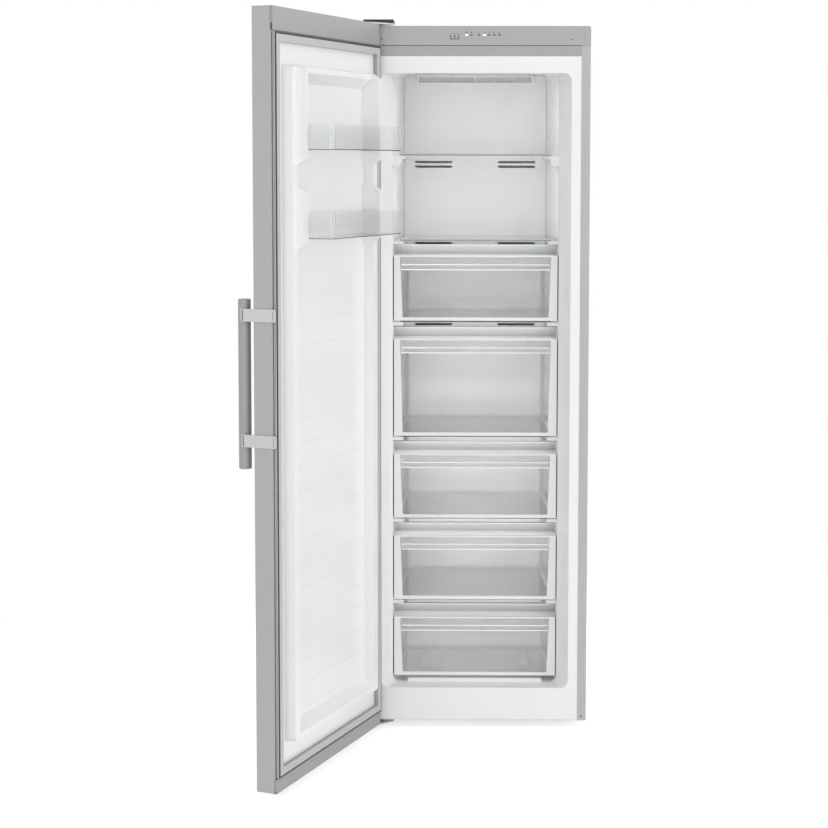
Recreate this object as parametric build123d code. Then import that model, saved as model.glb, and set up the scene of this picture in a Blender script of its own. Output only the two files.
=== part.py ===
from build123d import *
import math
import os

# An upright no-frost freezer with one door, hinged on its left and standing open.
# Millimetres. X runs to the right along the front, Y runs from the front to the back, Z is up.
# The origin is on the floor, below the middle of the cabinet's front face.
# Door pieces are drawn with the door shut and then swung open about the hinge pins.

os.makedirs("parts", exist_ok=True)

# ------------------------------------------------------------------ cabinet body
body_width = 595.0
body_depth = 590.0
body_bottom = 22.0
body_top = 1860.0
steel = 0.8                 # sheet of the outer case
case_bend = 1.7             # inside radius where the sides turn into the front strips
front_strip = 24.0          # grey steel strip beside the white front
strip_return = 10.0         # edge of a strip, turned back into the foam
rear_flange = 22.0          # edge of a side, turned in behind the foam
fascia_height = 50.0
fascia_depth = 60.0
rail_height = 28.0
rail_gap = 1.2              # below the control panel
fit_gap = 0.3               # between pieces that are put together
foam_front = 13.0

half_width = body_width / 2
liner_half = half_width - front_strip
fascia_bottom = body_top - fascia_height
rail_bottom = fascia_bottom - rail_height
cover_thickness = 2.5
case_top = body_top - cover_thickness - fit_gap
floor_sheet = 1.2
tray_top = body_bottom + floor_sheet
rear_face = body_depth - steel
case_back = rear_face - fit_gap

# ------------------------------------------------------------------ screws
rear_screw_levels = (330.0, 820.0, 1310.0, body_top - 60.0)
rear_screw_inset = 14.0
rear_screw_radius = 1.8
strip_screw_inset = 13.6    # screws at the foot of the grey strips
strip_screw_height = 34.0
strip_screw_radius = 1.2
rear_screw_x = half_width - rear_screw_inset
strip_screw = (half_width - strip_screw_inset, strip_screw_height)

# ------------------------------------------------------------------ liner and cavity
liner_wall = 1.6
mouth_inset = 25.0          # white front beside the mouth
opening_half = liner_half - mouth_inset   # half the mouth's width in the front plane
mouth_drop = 43.5           # white front above the mouth
opening_top = rail_bottom - mouth_drop
opening_bottom = 110.0
opening_radius = 20.0
funnel_depth = 50.0         # the mouth narrows over this depth
funnel_inset = 29.0
cavity_front_half = opening_half - funnel_inset   # half width at the end of the mouth
cavity_taper = 20.5
cavity_back_half = cavity_front_half - cavity_taper
ceiling_rise = 15.5         # from the mouth's top edge up to the ceiling
cavity_ceiling = opening_top + ceiling_rise
cavity_floor = 114.0
cavity_radius = 16.0
back_foam = 85.0            # from the liner's back to the rear of the cabinet
cavity_back = body_depth - back_foam
step_reach = 160.0
step_front = cavity_back - step_reach     # the floor rises here, over the machine room
step_slope = 45.0
step_back = step_front + step_slope
step_top = 262.0
flange_hole = (liner_half - 11.2, 36.0, 1.5)   # place and radius of the hole low in the flange
sill_ridge = (opening_half - 68.5, 44.0, 9.0)   # half width, place and height of the ridge on the floor
floor_runner = (120.0, 150.0)     # the lowest drawer's runners, out from the middle

# ------------------------------------------------------------------ machine room
room_front = step_front + 63.0
room_top = 203.0

# ------------------------------------------------------------------ shelf levels
glass = 4.0
shelf_drops = (225.0, 450.0)      # from the ceiling down to each glass shelf
shelf_tops = tuple(cavity_ceiling - drop for drop in shelf_drops)

# ------------------------------------------------------------------ drawers
drawer_front = 50.0         # front plane, measured back from the cabinet's front
side_clearance = 3.0        # beside a drawer, at the end of the mouth
drawer_half = cavity_front_half - side_clearance
drawer_bottom = 130.0       # underside of the lowest drawer
drawer_gap = 20.0           # from one drawer's top to the next one's underside
drawer_height = 201.2       # the first, the third and the fourth drawer
low_drawer_height = 188.0
drawer_headroom = 10.4      # over the first drawer, below the glass
tall_drawer_height = (shelf_tops[1] - glass - drawer_headroom - drawer_bottom
                      - 4 * drawer_gap - 3 * drawer_height - low_drawer_height)
drawer_heights = (drawer_height, tall_drawer_height, drawer_height, drawer_height,
                  low_drawer_height)      # from the top drawer down
drawer_back = cavity_back - 77.0
drawer_backs = (drawer_back, drawer_back, drawer_back, drawer_back, step_front - 9.0)
drawer_taper = 22.5
drawer_back_half = drawer_half - drawer_taper
drawer_wall = 2.0
drawer_corner = 14.0
post_width = 16.0           # frosted upright at each end of a drawer's front
post_spread = 7.0           # how much wider it is at its foot
frame_depth = 5.0
frame_foot = 9.0
grip_drop = 28.0            # from a drawer's top edge down to its window's rim
grip_depth = 66.0           # how far a hand reaches in over the rim
grip_overhang = 31.0        # how far the grip's top comes forward again
grip_wall = 2.2
grip_flange = 14.0
rim_strip = 4.2             # frosted strip below the rim
window_ribs = (24.5, 38.0)  # below the rim

# ------------------------------------------------------------------ shelves
glass_half = cavity_front_half - 20.0
shelf_back = drawer_back - 2.0
shelf_fronts = (58.0, 56.0)
trim_height = 6.4
trim_depth = 12.0
rail_width = 27.5
rail_reach = cavity_front_half - rail_width      # inner edge of the moulded rails
rail_thickness = 8.6
rail_front = 60.0
rail_back = shelf_back + 4.0
bracket_drop = 27.0         # the deep front end of the rails under the top shelf
bracket_half = cavity_front_half - 21.5
bracket_back = 96.0
slide_gap = 0.4             # under anything that slides on a shelf

# ------------------------------------------------------------------ door
door_half = half_width - 1.0
door_face = 61.0            # outer face, in front of the cabinet
door_edge = 15.0            # face of the foam, in front of the cabinet
pan_edge = 13.0             # where the steel pan ends, in front of the cabinet
door_bottom = 21.0
door_rise = 2.0             # the door stands this much above the cabinet's top
door_top = body_top + door_rise
door_bend = 1.7             # inside radius of the pan's upright edges
door_open = 111.6           # how far it stands open, in degrees
hinge_inset = 13.8          # hinge axis, in from the cabinet's side
hinge_forward = 37.5        # hinge axis, in front of the cabinet
pin_radius = 4.0
pin_clearance = 0.06
pin_length = 17.0
bush_radius = 7.0
bush_length = 19.0
top_cap_height = 56.0
bottom_cap_height = 34.5
cap_face = 6.0              # inner face of the end caps, in front of the cabinet
cap_seam = 12.2             # the visible part of the end caps begins here
cap_core_inset = 3.0        # the part behind the seam is smaller all round
cap_notch = (7.0, -11.6, -7.8)            # depth and span of the slots in the caps' ends
door_liner_wall = 1.6
gasket_half = door_half - 2.0
gasket_width = 22.5
gasket_face = 0.6           # shut, the gasket's face is this far from the cabinet
gasket_lip = 2.2            # its rounded edge begins here
gasket_lip_inset = 6.5
gasket_layers = (           # inset of each layer, and its span above the lining
    (0.8, 0.0, 1.0), (9.0, 0.8, 4.6), (1.5, 4.4, 6.6), (8.0, 6.4, 9.0))
dyke_gap = 5.5              # between the mouth's edge and the dyke
dyke_half = opening_half - dyke_gap       # raised ring on the door's lining, at its foot
dyke_draft = 5.6
dyke_height = 27.0
dyke_width = 24.0
dyke_top = opening_top - dyke_gap
dyke_bottom = opening_bottom + 19.0
dyke_cross = 12.0           # width of the ring's top and bottom members
dyke_run = 25.0             # from the crest of these down to the flat lining
tower_height = 22.0         # bin towers, above the dyke
tower_width = 12.0
tower_half = dyke_half - 29.0             # outer side of the bin towers
tower_drops = ((233.0, 2.0), (430.0, 282.0))     # ends of the towers, below the dyke's top
tower_spans = tuple((dyke_top - low, dyke_top - high) for low, high in tower_drops)
tower_chamfer = 14.0
lining_rib = 1.2
lining_rib_half = tower_half - 9.0
lining_rib_height = 3.0
lining_rib_pitch = 58.8
lining_rib_count = 19
lining_rib_first = 186.0

# ------------------------------------------------------------------ door bins
bin_half = tower_half - tower_width - 2.5
bin_front = 100.0           # how far a bin reaches in past the cabinet's front, shut
bin_back = -7.5
bin_drops = (198.0, 406.0)  # undersides of the bins, below the dyke's top
bin_bottoms = tuple(dyke_top - drop for drop in bin_drops)
bin_height = 60.0
bin_wall = 2.0
bin_corner = 10.0
bin_ledge = 4.0
bin_ledge_reach = 6.0

# ------------------------------------------------------------------ handle
handle_radius = 15.0
handle_bottom = 789.5
handle_length = 399.0
handle_standoff = 31.0      # bar's axis, in front of the door's face
bracket_thickness = 3.0
bracket_height = 29.6
bracket_insets = (36.5, 68.1)      # middles of the brackets, in from the bar's top and foot
bracket_levels = (handle_bottom + handle_length - bracket_insets[0],
                  handle_bottom + bracket_insets[1])
bracket_edge = 1.5          # the brackets end this far from the gasket's face
bracket_rim = 4.0           # rims above and below the sunk end of a bracket
bracket_sink = 8.5          # length of that end
bracket_sink_depth = 2.2

# ------------------------------------------------------------------ feet and rollers
foot_x = half_width - 57.5
foot_y = 95.0
foot_sole_radius = 19.0
foot_sole_height = 7.0
foot_hex = 17.0
foot_hex_height = 6.0
foot_thread_radius = 5.0
foot_thread_top = 46.0
thread_clearance = 0.06
boss_radius = 10.0
boss_height = 12.0
roller_x = half_width - 62.5
roller_y = body_depth - 55.0
roller_radius = 16.5
roller_width = 20.0
axle_radius = 3.0
ear_thickness = 2.5

# ------------------------------------------------------------------ controls
button_x = -56.6
button_z = body_top - 27.0
button_width = 22.5
button_height = 14.3
button_gap = 0.4
button_travel = 1.5
light_places = (-25.3, -13.4, 6.5, 20.5, 33.0, 46.2, 59.7)
light_z = body_top - 23.5
light_width = 5.0
light_height = 1.8
plastic_wall = 2.5
end_cap_width = 15.0
board_y = 22.0
board_half = (95.0, 17.0)
board_x = 5.0
board_thickness = 1.6

# ------------------------------------------------------------------ cooling
duct_front = cavity_back - 66.2
duct_wall = 2.5
duct_half = cavity_back_half - 2.0        # its body, behind the face
wall_taper = (cavity_front_half - cavity_back_half) / (cavity_back - funnel_depth)
duct_side_gap = 0.5
duct_face_half = (cavity_back_half + wall_taper * (cavity_back - duct_front - duct_wall)
                  - duct_side_gap)
duct_bottom = step_top + fit_gap
coil_back = cavity_back - fit_gap
shelf_vents = ((0, 20.0), (0, 33.0), (1, 26.0))   # shelf, and how far below its top
drawer_vents = ((1, 22.4), (2, 18.4), (3, 18.2), (4, 17.0))   # drawer, and the same
vent_inner = 65.5
vent_length = 105.0
vent_height = 6.6
grille_half = duct_half - 32.0
grille_bottom = cavity_ceiling - 25.0
grille_depth = 7.5
grille_rim = 3.5            # face of the grille above and below its louvers
louver_pitch = 5.6
louver_rise = 5.2           # from a louver's front edge up to its back edge
louver_thickness = 1.2
fin_count = 24
fin_pitch = 12.5
fin_thickness = 0.6
coil_bottom = 332.0
coil_top = 560.0
coil_rows = 5
coil_pitch = 46.0
coil_tube = 4.0
coil_columns = (cavity_back - 41.0, cavity_back - 14.0)
coil_depth = (cavity_back - 55.0, coil_back)
heater_radius = 3.5
fan_z = 700.0
fan_radius = 55.0
fan_hub = 16.0
fan_blades = 7
fan_shaft = 2.0
fan_clearance = 0.05
motor_radius = 23.0
motor_length = 25.0
fan_length = 20.0
drain_x = 0.0
drain_y = cavity_back - 27.0
drain_radius = 6.0
fan_back = coil_back - motor_length - 2
fan_front = fan_back - fan_length
hub_cap = 3.0               # closed front end of the fan's hub

# ------------------------------------------------------------------ compressor and pipes
pump_x = 70.0
pump_y = room_front + 89.0
pump_radius = 76.0
mount_height = 10.0
mount_radius = 11.0
mount_places = (85.0, 58.0)
pump_plate = 3.0
pump_top = 168.0
pan_height = 22.0
inlet_left = half_width - 44.5            # near side of the mains inlet
condenser_tube = 2.4
condenser_runs = 6
condenser_first = 140.0
condenser_rear_inset = 70.0
condenser_last = body_depth - condenser_rear_inset
condenser_pitch = (condenser_last - condenser_first) / (condenser_runs - 1)
condenser_bottom = 300.0
condenser_drop = 200.0
condenser_top = body_top - condenser_drop
condenser_end = 32.0        # how far its lower ends reach into the machine room
condenser_x = half_width - steel - fit_gap - condenser_tube

# ------------------------------------------------------------------ helpers


def block(x_span, y_span, z_span):
    """A box between two corners, given as low and high values along each axis."""
    sizes = [span[1] - span[0] for span in (x_span, y_span, z_span)]
    middle = [(span[0] + span[1]) / 2 for span in (x_span, y_span, z_span)]
    return Pos(*middle) * Box(*sizes)


def both(half):
    """A span that lies the same way each side of the middle."""
    return (-half, half)


def rod(start, end, radius):
    """A round bar from one point to another."""
    line = Vector(*end) - Vector(*start)
    plane = Plane(origin=start, z_dir=line)
    return extrude(plane * Circle(radius), amount=line.length)


def front_sketch(half, z_span, y, radius):
    """A rounded rectangle that faces the front, in the plane at y."""
    plane = Plane(origin=(0, y, sum(z_span) / 2), x_dir=(1, 0, 0), z_dir=(0, 1, 0))
    return plane * RectangleRounded(2 * half, z_span[1] - z_span[0], radius)


def side_plate(points, x_span):
    """A plate whose outline is given as (y, z) points, from one x to the other."""
    plane = Plane(origin=(x_span[0], 0, 0), x_dir=(0, 1, 0), z_dir=(1, 0, 0))
    outline = plane * make_face(Polyline(*points, close=True))
    return extrude(outline, amount=x_span[1] - x_span[0])


def tube(points, bend, radius):
    """A round tube along straight runs that are joined by arcs."""
    path = FilletPolyline(*points, radius=bend)
    section = Plane(origin=path @ 0, z_dir=path % 0) * Circle(radius)
    return sweep(section, path=path)


def upright_edge(shape, x, y):
    """The upright edge of a shape that is nearest to a place on the floor plan."""
    middle = shape.bounding_box().center().Z
    return shape.edges().filter_by(Axis.Z).sort_by_distance((x, y, middle))[0]


def mirrored(shape):
    """The same shape on the other side of the cabinet."""
    return mirror(shape, about=Plane.YZ)


def group(*shapes):
    """Separate solids that are kept as one sub-part."""
    return Compound([solid for shape in shapes for solid in shape.solids()])


def save(name, shape, place=None):
    """Write one sub-part, moved to its place if one is given."""
    whole = group(shape if place is None else place * shape)
    export_step(whole, f"parts/{name}.step")


# ------------------------------------------------------------------ outer case


def side_panel():
    """The right side: a steel wall with the grey strip turned in at the front."""
    wall = block((half_width - steel, half_width), (0, case_back), (body_bottom, case_top))
    strip = block((liner_half, half_width), (0, steel), (body_bottom, case_top))
    edge = block((liner_half, liner_half + steel), (0, strip_return), (body_bottom, case_top))
    rear = block((half_width - rear_flange, half_width), (case_back - steel, case_back),
                 (room_top + floor_sheet, case_top))
    panel = wall + strip + edge + rear
    panel = fillet(upright_edge(panel, half_width, 0), case_bend + steel)
    panel = fillet(upright_edge(panel, half_width - steel, steel), case_bend)
    fascia_room = block(
        (0, body_width), (-1, fascia_depth + fit_gap), (fascia_bottom - fit_gap, body_top)
    )
    panel -= fascia_room
    for z in rear_screw_levels:
        panel -= rod((rear_screw_x, body_depth - 5, z), (rear_screw_x, body_depth + 5, z),
                     rear_screw_radius)
    return panel - rod((strip_screw[0], -1, strip_screw[1]), (strip_screw[0], 5, strip_screw[1]),
                       strip_screw_radius)


def top_rail():
    """The grey steel rail below the control panel, with both edges turned back."""
    span = both(liner_half - fit_gap)
    low, high = rail_bottom + fit_gap, fascia_bottom - rail_gap
    face = block(span, (0, steel), (low, high))
    lower = block(span, (0, strip_return), (low, low + steel))
    upper = block(span, (0, strip_return), (high - steel, high))
    return face + lower + upper


def top_cover():
    """The flat cover behind the control panel."""
    front = fascia_depth + fit_gap
    plate = block(both(half_width), (front, rear_face), (body_top - cover_thickness, body_top))
    corners = [edge for edge in plate.edges().filter_by(Axis.Z) if edge.center().Y > front + 1]
    plate = fillet(corners, 6)
    return chamfer(plate.faces().sort_by(Axis.Z)[-1].edges(), 0.8)


def rear_panel():
    """The back sheet, with three upright beads that stiffen it."""
    bead_half, bead_height, bead_margin = 22.0, 2.2, 110.0
    low, high = room_top + floor_sheet, case_top
    sheet = block(both(half_width - 1), (rear_face, body_depth), (low, high))
    for x in (-185.0, 0.0, 185.0):
        bead = block(
            (x - bead_half, x + bead_half),
            (rear_face, body_depth + bead_height),
            (low + bead_margin, high - bead_margin),
        )
        outer = bead.faces().sort_by(Axis.Y)[-1].edges()
        sheet += chamfer(outer, bead_height, bead_height * 0.9)
    for z in rear_screw_levels:
        for side in (-1, 1):
            x = side * rear_screw_x
            sheet -= rod((x, rear_face - 5, z), (x, body_depth + 5, z), rear_screw_radius)
    return sheet


def base_tray():
    """The stepped floor sheet, with nuts for the feet and ears for the rollers."""
    span = both(half_width - steel - fit_gap)
    floor = block(span, (liner_wall + 1, case_back), (body_bottom, tray_top))
    wall = block(span, (room_front - floor_sheet, room_front), (body_bottom, room_top))
    roof = block(span, (room_front - floor_sheet, case_back), (room_top - floor_sheet, room_top))
    tray = floor + wall + roof
    notch = block((liner_half - fit_gap, half_width), (0, strip_return + fit_gap),
                  (body_bottom - 1, tray_top + 1))
    pipe_x, pipe_y, reach = condenser_x, condenser_last, condenser_tube + fit_gap
    pipe_notch = block((pipe_x - reach, half_width), (pipe_y - reach, pipe_y + reach),
                       (room_top - 5, room_top + 5))
    for cut in (notch, pipe_notch):
        tray -= cut
        tray -= mirrored(cut)
    for side in (-1, 1):
        tray += rod((side * foot_x, foot_y, body_bottom),
                    (side * foot_x, foot_y, tray_top + boss_height), boss_radius)
        tray -= rod((side * foot_x, foot_y, 0),
                    (side * foot_x, foot_y, tray_top + boss_height + 1),
                    foot_thread_radius + thread_clearance)
        slot_half = roller_width / 2 + 1.5
        tray -= block((side * roller_x - slot_half, side * roller_x + slot_half),
                      (roller_y - roller_radius - 2, roller_y + roller_radius + 2),
                      (body_bottom - 1, tray_top + 1))
        for end in (-1, 1):
            inner = side * roller_x + end * slot_half
            outer = inner + end * ear_thickness
            ear = block((min(inner, outer), max(inner, outer)),
                        (roller_y - 9, roller_y + 9), (roller_radius - 7, body_bottom))
            tray += ear
        reach = slot_half + ear_thickness
        tray += rod((side * roller_x - reach, roller_y, roller_radius),
                    (side * roller_x + reach, roller_y, roller_radius), axle_radius)
    tray -= rod((drain_x, drain_y, room_top - 10), (drain_x, drain_y, room_top + 10),
                drain_radius + 0.5)
    return tray


# ------------------------------------------------------------------ liner and foam


def cavity_space(grow):
    """The space that the liner encloses, grown on every side but the front."""
    mouth = front_sketch(opening_half + grow, (opening_bottom - grow, opening_top + grow),
                         0, opening_radius + grow)
    throat = front_sketch(cavity_front_half + grow, (cavity_floor - grow, cavity_ceiling + grow),
                          funnel_depth, cavity_radius + grow)
    back = front_sketch(cavity_back_half + grow, (cavity_floor - grow, cavity_ceiling + grow),
                        cavity_back + grow, cavity_radius + grow)
    space = loft([mouth, throat], ruled=True) + loft([throat, back], ruled=True)
    step = side_plate(
        ((step_front + grow, 0), (step_back + grow, step_top - grow),
         (body_depth, step_top - grow), (body_depth, 0)), both(half_width))
    return space - step


def shelf_levels():
    """The underside of every glass shelf, from the top down."""
    levels = [top - glass for top in shelf_tops]
    levels += [low - slide_gap - glass for low, high in drawer_spans()[:-1]]
    return levels


def drawer_spans():
    """Bottom and top of each drawer, from the top drawer down."""
    spans = []
    low = drawer_bottom
    for height in reversed(drawer_heights):
        spans.insert(0, (low, low + height))
        low += height + drawer_gap
    return spans


def liner_rails():
    """The moulded rails that carry the shelves."""
    rails = []
    for index, level in enumerate(shelf_levels()):
        high = level - fit_gap
        rail = block((rail_reach, half_width), (rail_front, rail_back),
                     (high - rail_thickness, high))
        if index == 0:
            nose = block((bracket_half, half_width), (funnel_depth + 2, bracket_back),
                         (high - bracket_drop, high))
            inner = [edge for edge in nose.edges().filter_by(Axis.Y)
                     if edge.center().X < bracket_half + 1 and edge.center().Z < high - 1]
            rail += fillet(inner, 7)
        rails += [rail, mirrored(rail)]
    return rails


def inner_liner():
    """The white moulded lining with its front flange, rails and floor ridge."""
    flange = block(both(liner_half - fit_gap), (0, liner_wall), (body_bottom + 2, rail_bottom))
    shell = flange + cavity_space(liner_wall)
    shell -= cavity_space(0)
    bound = cavity_space(liner_wall / 2)
    for rail in liner_rails():
        shell += rail & bound
    ridge_half, ridge_y, ridge_height = sill_ridge
    ridge = block(both(ridge_half), (ridge_y, ridge_y + 60),
                  (cavity_floor - liner_wall / 2, cavity_floor + ridge_height))
    shell += chamfer(ridge.faces().sort_by(Axis.Z)[-1].edges(), 2)
    runner = block(floor_runner, (ridge_y + 61, step_front - 6),
                   (cavity_floor - liner_wall / 2, drawer_bottom - slide_gap))
    runner = chamfer(runner.faces().sort_by(Axis.Z)[-1].edges(), 2)
    shell += runner
    shell += mirrored(runner)
    for side in (-1, 1):
        shell -= rod((side * flange_hole[0], -1, flange_hole[1]),
                     (side * flange_hole[0], liner_wall + 1, flange_hole[1]), flange_hole[2])
    shell -= rod((drain_x, drain_y, step_top - 10), (drain_x, drain_y, step_top + 10),
                 drain_radius + 0.5)
    return shell


def insulation():
    """The foam that fills the case around the liner and over the machine room."""
    side = half_width - steel - fit_gap
    foam = block(both(side), (foam_front, rear_face - fit_gap), (tray_top + fit_gap, case_top))
    foam -= cavity_space(liner_wall + fit_gap)
    foam -= block(both(half_width), (room_front - floor_sheet - fit_gap, body_depth),
                  (0, room_top + fit_gap))
    foam -= block(both(half_width), (0, fascia_depth + 2 * fit_gap),
                  (fascia_bottom - 2 * fit_gap, body_top))
    pocket_inner = condenser_x - condenser_tube - fit_gap
    pocket = block((pocket_inner, half_width),
                   (condenser_first - 20, condenser_first + condenser_pitch * condenser_runs),
                   (condenser_bottom - 60, condenser_top + 60))
    leg = block((pocket_inner, half_width), (condenser_last - 10, condenser_last + 10),
                (room_top - 1, condenser_bottom))
    flange_room = block((half_width - rear_flange - fit_gap, half_width),
                        (case_back - steel - fit_gap, body_depth), (0, body_top))
    for side_cut in (pocket, leg, flange_room):
        foam -= side_cut
        foam -= mirrored(side_cut)
    for side_sign in (-1, 1):
        foam -= rod((side_sign * foot_x, foot_y, 0), (side_sign * foot_x, foot_y, 52), 12)
    foam -= rod((drain_x, drain_y, room_top - 5), (drain_x, drain_y, step_top + 5),
                drain_radius + 0.5)
    return foam


# ------------------------------------------------------------------ controls


def control_panel():
    """The hollow panel across the top front, with an end cap at each side."""
    low, high = fascia_bottom, body_top
    outer = block(both(half_width), (0, fascia_depth), (low, high))
    ends = [edge for edge in outer.edges().filter_by(Axis.Y) if edge.center().Z > high - 1]
    outer = fillet(ends, 6)
    outer = fillet(outer.faces().sort_by(Axis.Y)[0].edges(), 1.2)
    hollow = block(both(half_width - plastic_wall), (plastic_wall, fascia_depth + 1),
                   (low + plastic_wall, high - plastic_wall))
    shell = outer - hollow
    hole = block(
        (button_x - button_width / 2 - button_gap, button_x + button_width / 2 + button_gap),
        (-1, plastic_wall + 1),
        (button_z - button_height / 2 - button_gap, button_z + button_height / 2 + button_gap))
    shell -= hole
    for x in screw_places:
        shell -= rod((x, 28, high - plastic_wall - 1), (x, 28, high + 1), 2.3)
    for x in light_places:
        shell -= light_bar(x, -1, plastic_wall + 1, 0.0)
    for x in (board_x - board_half[0] + 8, board_x + board_half[0] - 8):
        for z in (button_z - board_half[1] + 5, button_z + board_half[1] - 5):
            shell += rod((x, plastic_wall - 0.5, z), (x, board_y - 0.1, z), 3)
    seam = half_width - end_cap_width
    middle = shell & block(both(seam - fit_gap / 2), (-5, body_depth), (low - 5, high + 5))
    cap = shell & block((seam + fit_gap / 2, half_width + 5), (-5, body_depth),
                        (low - 5, high + 5))
    return group(middle, cap, mirrored(cap))


def light_bar(x, front, back, less):
    """The small window over one indicator, made smaller by an amount all round."""
    return block((x - light_width / 2 + less, x + light_width / 2 - less), (front, back),
                 (light_z - light_height / 2 + less, light_z + light_height / 2 - less))


def indicator_lights():
    """A clear rod for each indicator, from the board to the panel's face."""
    return group(*[light_bar(x, 0.1, board_y - 0.1, 0.05) for x in light_places])


def power_button():
    """The push button, with a stem that meets the switch on the board."""
    cap = block((button_x - button_width / 2, button_x + button_width / 2), (-0.4, 5),
                (button_z - button_height / 2, button_z + button_height / 2))
    cap = fillet(cap.faces().sort_by(Axis.Y)[0].edges(), 0.6)
    stem = rod((button_x, 4, button_z), (button_x, board_y - 4 - button_travel - 0.4, button_z), 3)
    return cap + stem


def control_board():
    """The circuit board behind the panel, with its switch, relays and connectors."""
    board = block((board_x - board_half[0], board_x + board_half[0]),
                  (board_y, board_y + board_thickness),
                  (button_z - board_half[1], button_z + board_half[1]))
    switch = block((button_x - 5, button_x + 5), (board_y - 4, board_y),
                   (button_z - 5, button_z + 5))
    parts = [switch]
    for x, width, height, depth in ((-70, 16, 24, 14), (-30, 20, 12, 12), (15, 26, 18, 16),
                                    (55, 14, 26, 18), (85, 12, 20, 10)):
        parts.append(block((board_x + x - width / 2, board_x + x + width / 2),
                           (board_y + board_thickness, board_y + board_thickness + depth),
                           (button_z - height / 2, button_z + height / 2)))
    for part in parts:
        board += part
    return board


# ------------------------------------------------------------------ hinges and screws

hinge_x = -half_width + hinge_inset
hinge_y = -hinge_forward
hinge_plate_span = (-half_width + 4.5, -half_width + 82.5)
hinge_plate = 3.0
hinge_gap = 1.5             # between the door and a hinge plate
top_plate_low = door_top + hinge_gap
bottom_plate_high = door_bottom - hinge_gap - 0.5
hinge_cover_height = 9.4
screw_places = (-half_width + 25.0, -half_width + 60.0)


def hinge_outline(front, back):
    """A hinge plate seen from above: wide on the cabinet, narrow at the pin."""
    left, right = hinge_plate_span
    nose = hinge_x + 14
    points = ((left, back), (right, back), (right, 4), (nose, front + 8), (nose, front),
              (left, front))
    return make_face(Polyline(*points, close=True))


def top_hinge():
    """The upper hinge plate with its pin, screwed to the cabinet's top."""
    plate = Pos(0, 0, top_plate_low) * extrude(hinge_outline(hinge_y - 12, 48), amount=hinge_plate)
    pad = block(hinge_plate_span, (6, 48), (body_top, top_plate_low + 0.5))
    pin = rod((hinge_x, hinge_y, top_plate_low + 1), (hinge_x, hinge_y, door_top - pin_length),
              pin_radius)
    plate = plate + pad + pin
    for x in screw_places:
        plate -= rod((x, 28, body_top - 1), (x, 28, top_plate_low + 9), 2.3)
    return plate


def bottom_hinge():
    """The lower hinge plate with its pin, under the cabinet's floor."""
    low = bottom_plate_high - hinge_plate
    plate = Pos(0, 0, low) * extrude(hinge_outline(hinge_y - 12, 62), amount=hinge_plate)
    pad = block(hinge_plate_span, (6, 62), (bottom_plate_high - 0.5, body_bottom))
    pin = rod((hinge_x, hinge_y, low + 1), (hinge_x, hinge_y, door_bottom + pin_length),
              pin_radius)
    return plate + pad + pin


def hinge_cover():
    """The dark cap that hides the upper hinge's screws."""
    low = top_plate_low + hinge_plate + fit_gap
    left, right = hinge_plate_span
    outer = block((left - 1, right + 1), (-6, 58), (low, low + hinge_cover_height))
    outer = fillet(outer.edges().filter_by(Axis.Z), 5)
    outer = fillet(outer.faces().sort_by(Axis.Z)[-1].edges(), 2.5)
    inner = block((left + 1, right - 1), (-4, 56), (low - 1, low + hinge_cover_height - 1.8))
    return outer - inner


def screw(x, y, z, direction, head_radius, head_height, shank_radius, shank_length):
    """A pan-head screw: its head stands on the surface at the point given."""
    base, way = Vector(x, y, z), Vector(*direction)
    head = rod(base, base + way * head_height, head_radius)
    crown = head.faces().sort_by_distance(base + way * head_height)[0].edges()
    head = fillet(crown, head_height * 0.45)
    shank = rod(base + way * 0.1, base - way * shank_length, shank_radius)
    return head + shank


def cabinet_screws():
    """The screws that hold the hinge, the side strips, the rear panel and the tray."""
    screws = []
    for x in screw_places:
        screws.append(screw(x, 28, top_plate_low + hinge_plate, (0, 0, 1), 4.5, 3.0, 2.2,
                            top_plate_low + hinge_plate - body_top + 7.0))
    for z in rear_screw_levels:
        for side in (-1, 1):
            screws.append(screw(side * rear_screw_x, body_depth, z, (0, 1, 0), 4.0, 2.2,
                                rear_screw_radius, 2 * steel + fit_gap))
    for side in (-1, 1):
        screws.append(screw(side * strip_screw[0], 0, strip_screw[1], (0, -1, 0), 2.6, 0.5,
                            strip_screw_radius, steel))
    return group(*screws)


# ------------------------------------------------------------------ feet and rollers


def front_foot(x):
    """A levelling foot: a sole, a hexagon for a spanner and a threaded stud."""
    sole = rod((x, foot_y, 0), (x, foot_y, foot_sole_height), foot_sole_radius)
    sole = chamfer(sole.faces().sort_by(Axis.Z)[-1].edges(), 1.5)
    hexagon = Pos(x, foot_y, foot_sole_height - 0.5) * extrude(
        RegularPolygon(foot_hex / 2, 6, major_radius=False), amount=foot_hex_height)
    stud = rod((x, foot_y, foot_sole_height), (x, foot_y, foot_thread_top), foot_thread_radius)
    return sole + hexagon + chamfer(stud.faces().sort_by(Axis.Z)[-1].edges(), 1)


def rear_roller(x):
    """A transport roller that turns on the tray's axle."""
    half = roller_width / 2
    wheel = rod((x - half, roller_y, roller_radius), (x + half, roller_y, roller_radius),
                roller_radius)
    wheel = fillet(wheel.edges().filter_by(GeomType.CIRCLE), 1.5)
    for end in (-1, 1):
        dish = Plane(origin=(x + end * half, roller_y, roller_radius), z_dir=(-end, 0, 0))
        ring = Circle(roller_radius - 4) - Circle(axle_radius + 3)
        wheel -= extrude(dish * ring, amount=4)
    bore = rod((x - half - 1, roller_y, roller_radius), (x + half + 1, roller_y, roller_radius),
               axle_radius + thread_clearance)
    return wheel - bore


# ------------------------------------------------------------------ air duct and evaporator


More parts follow.
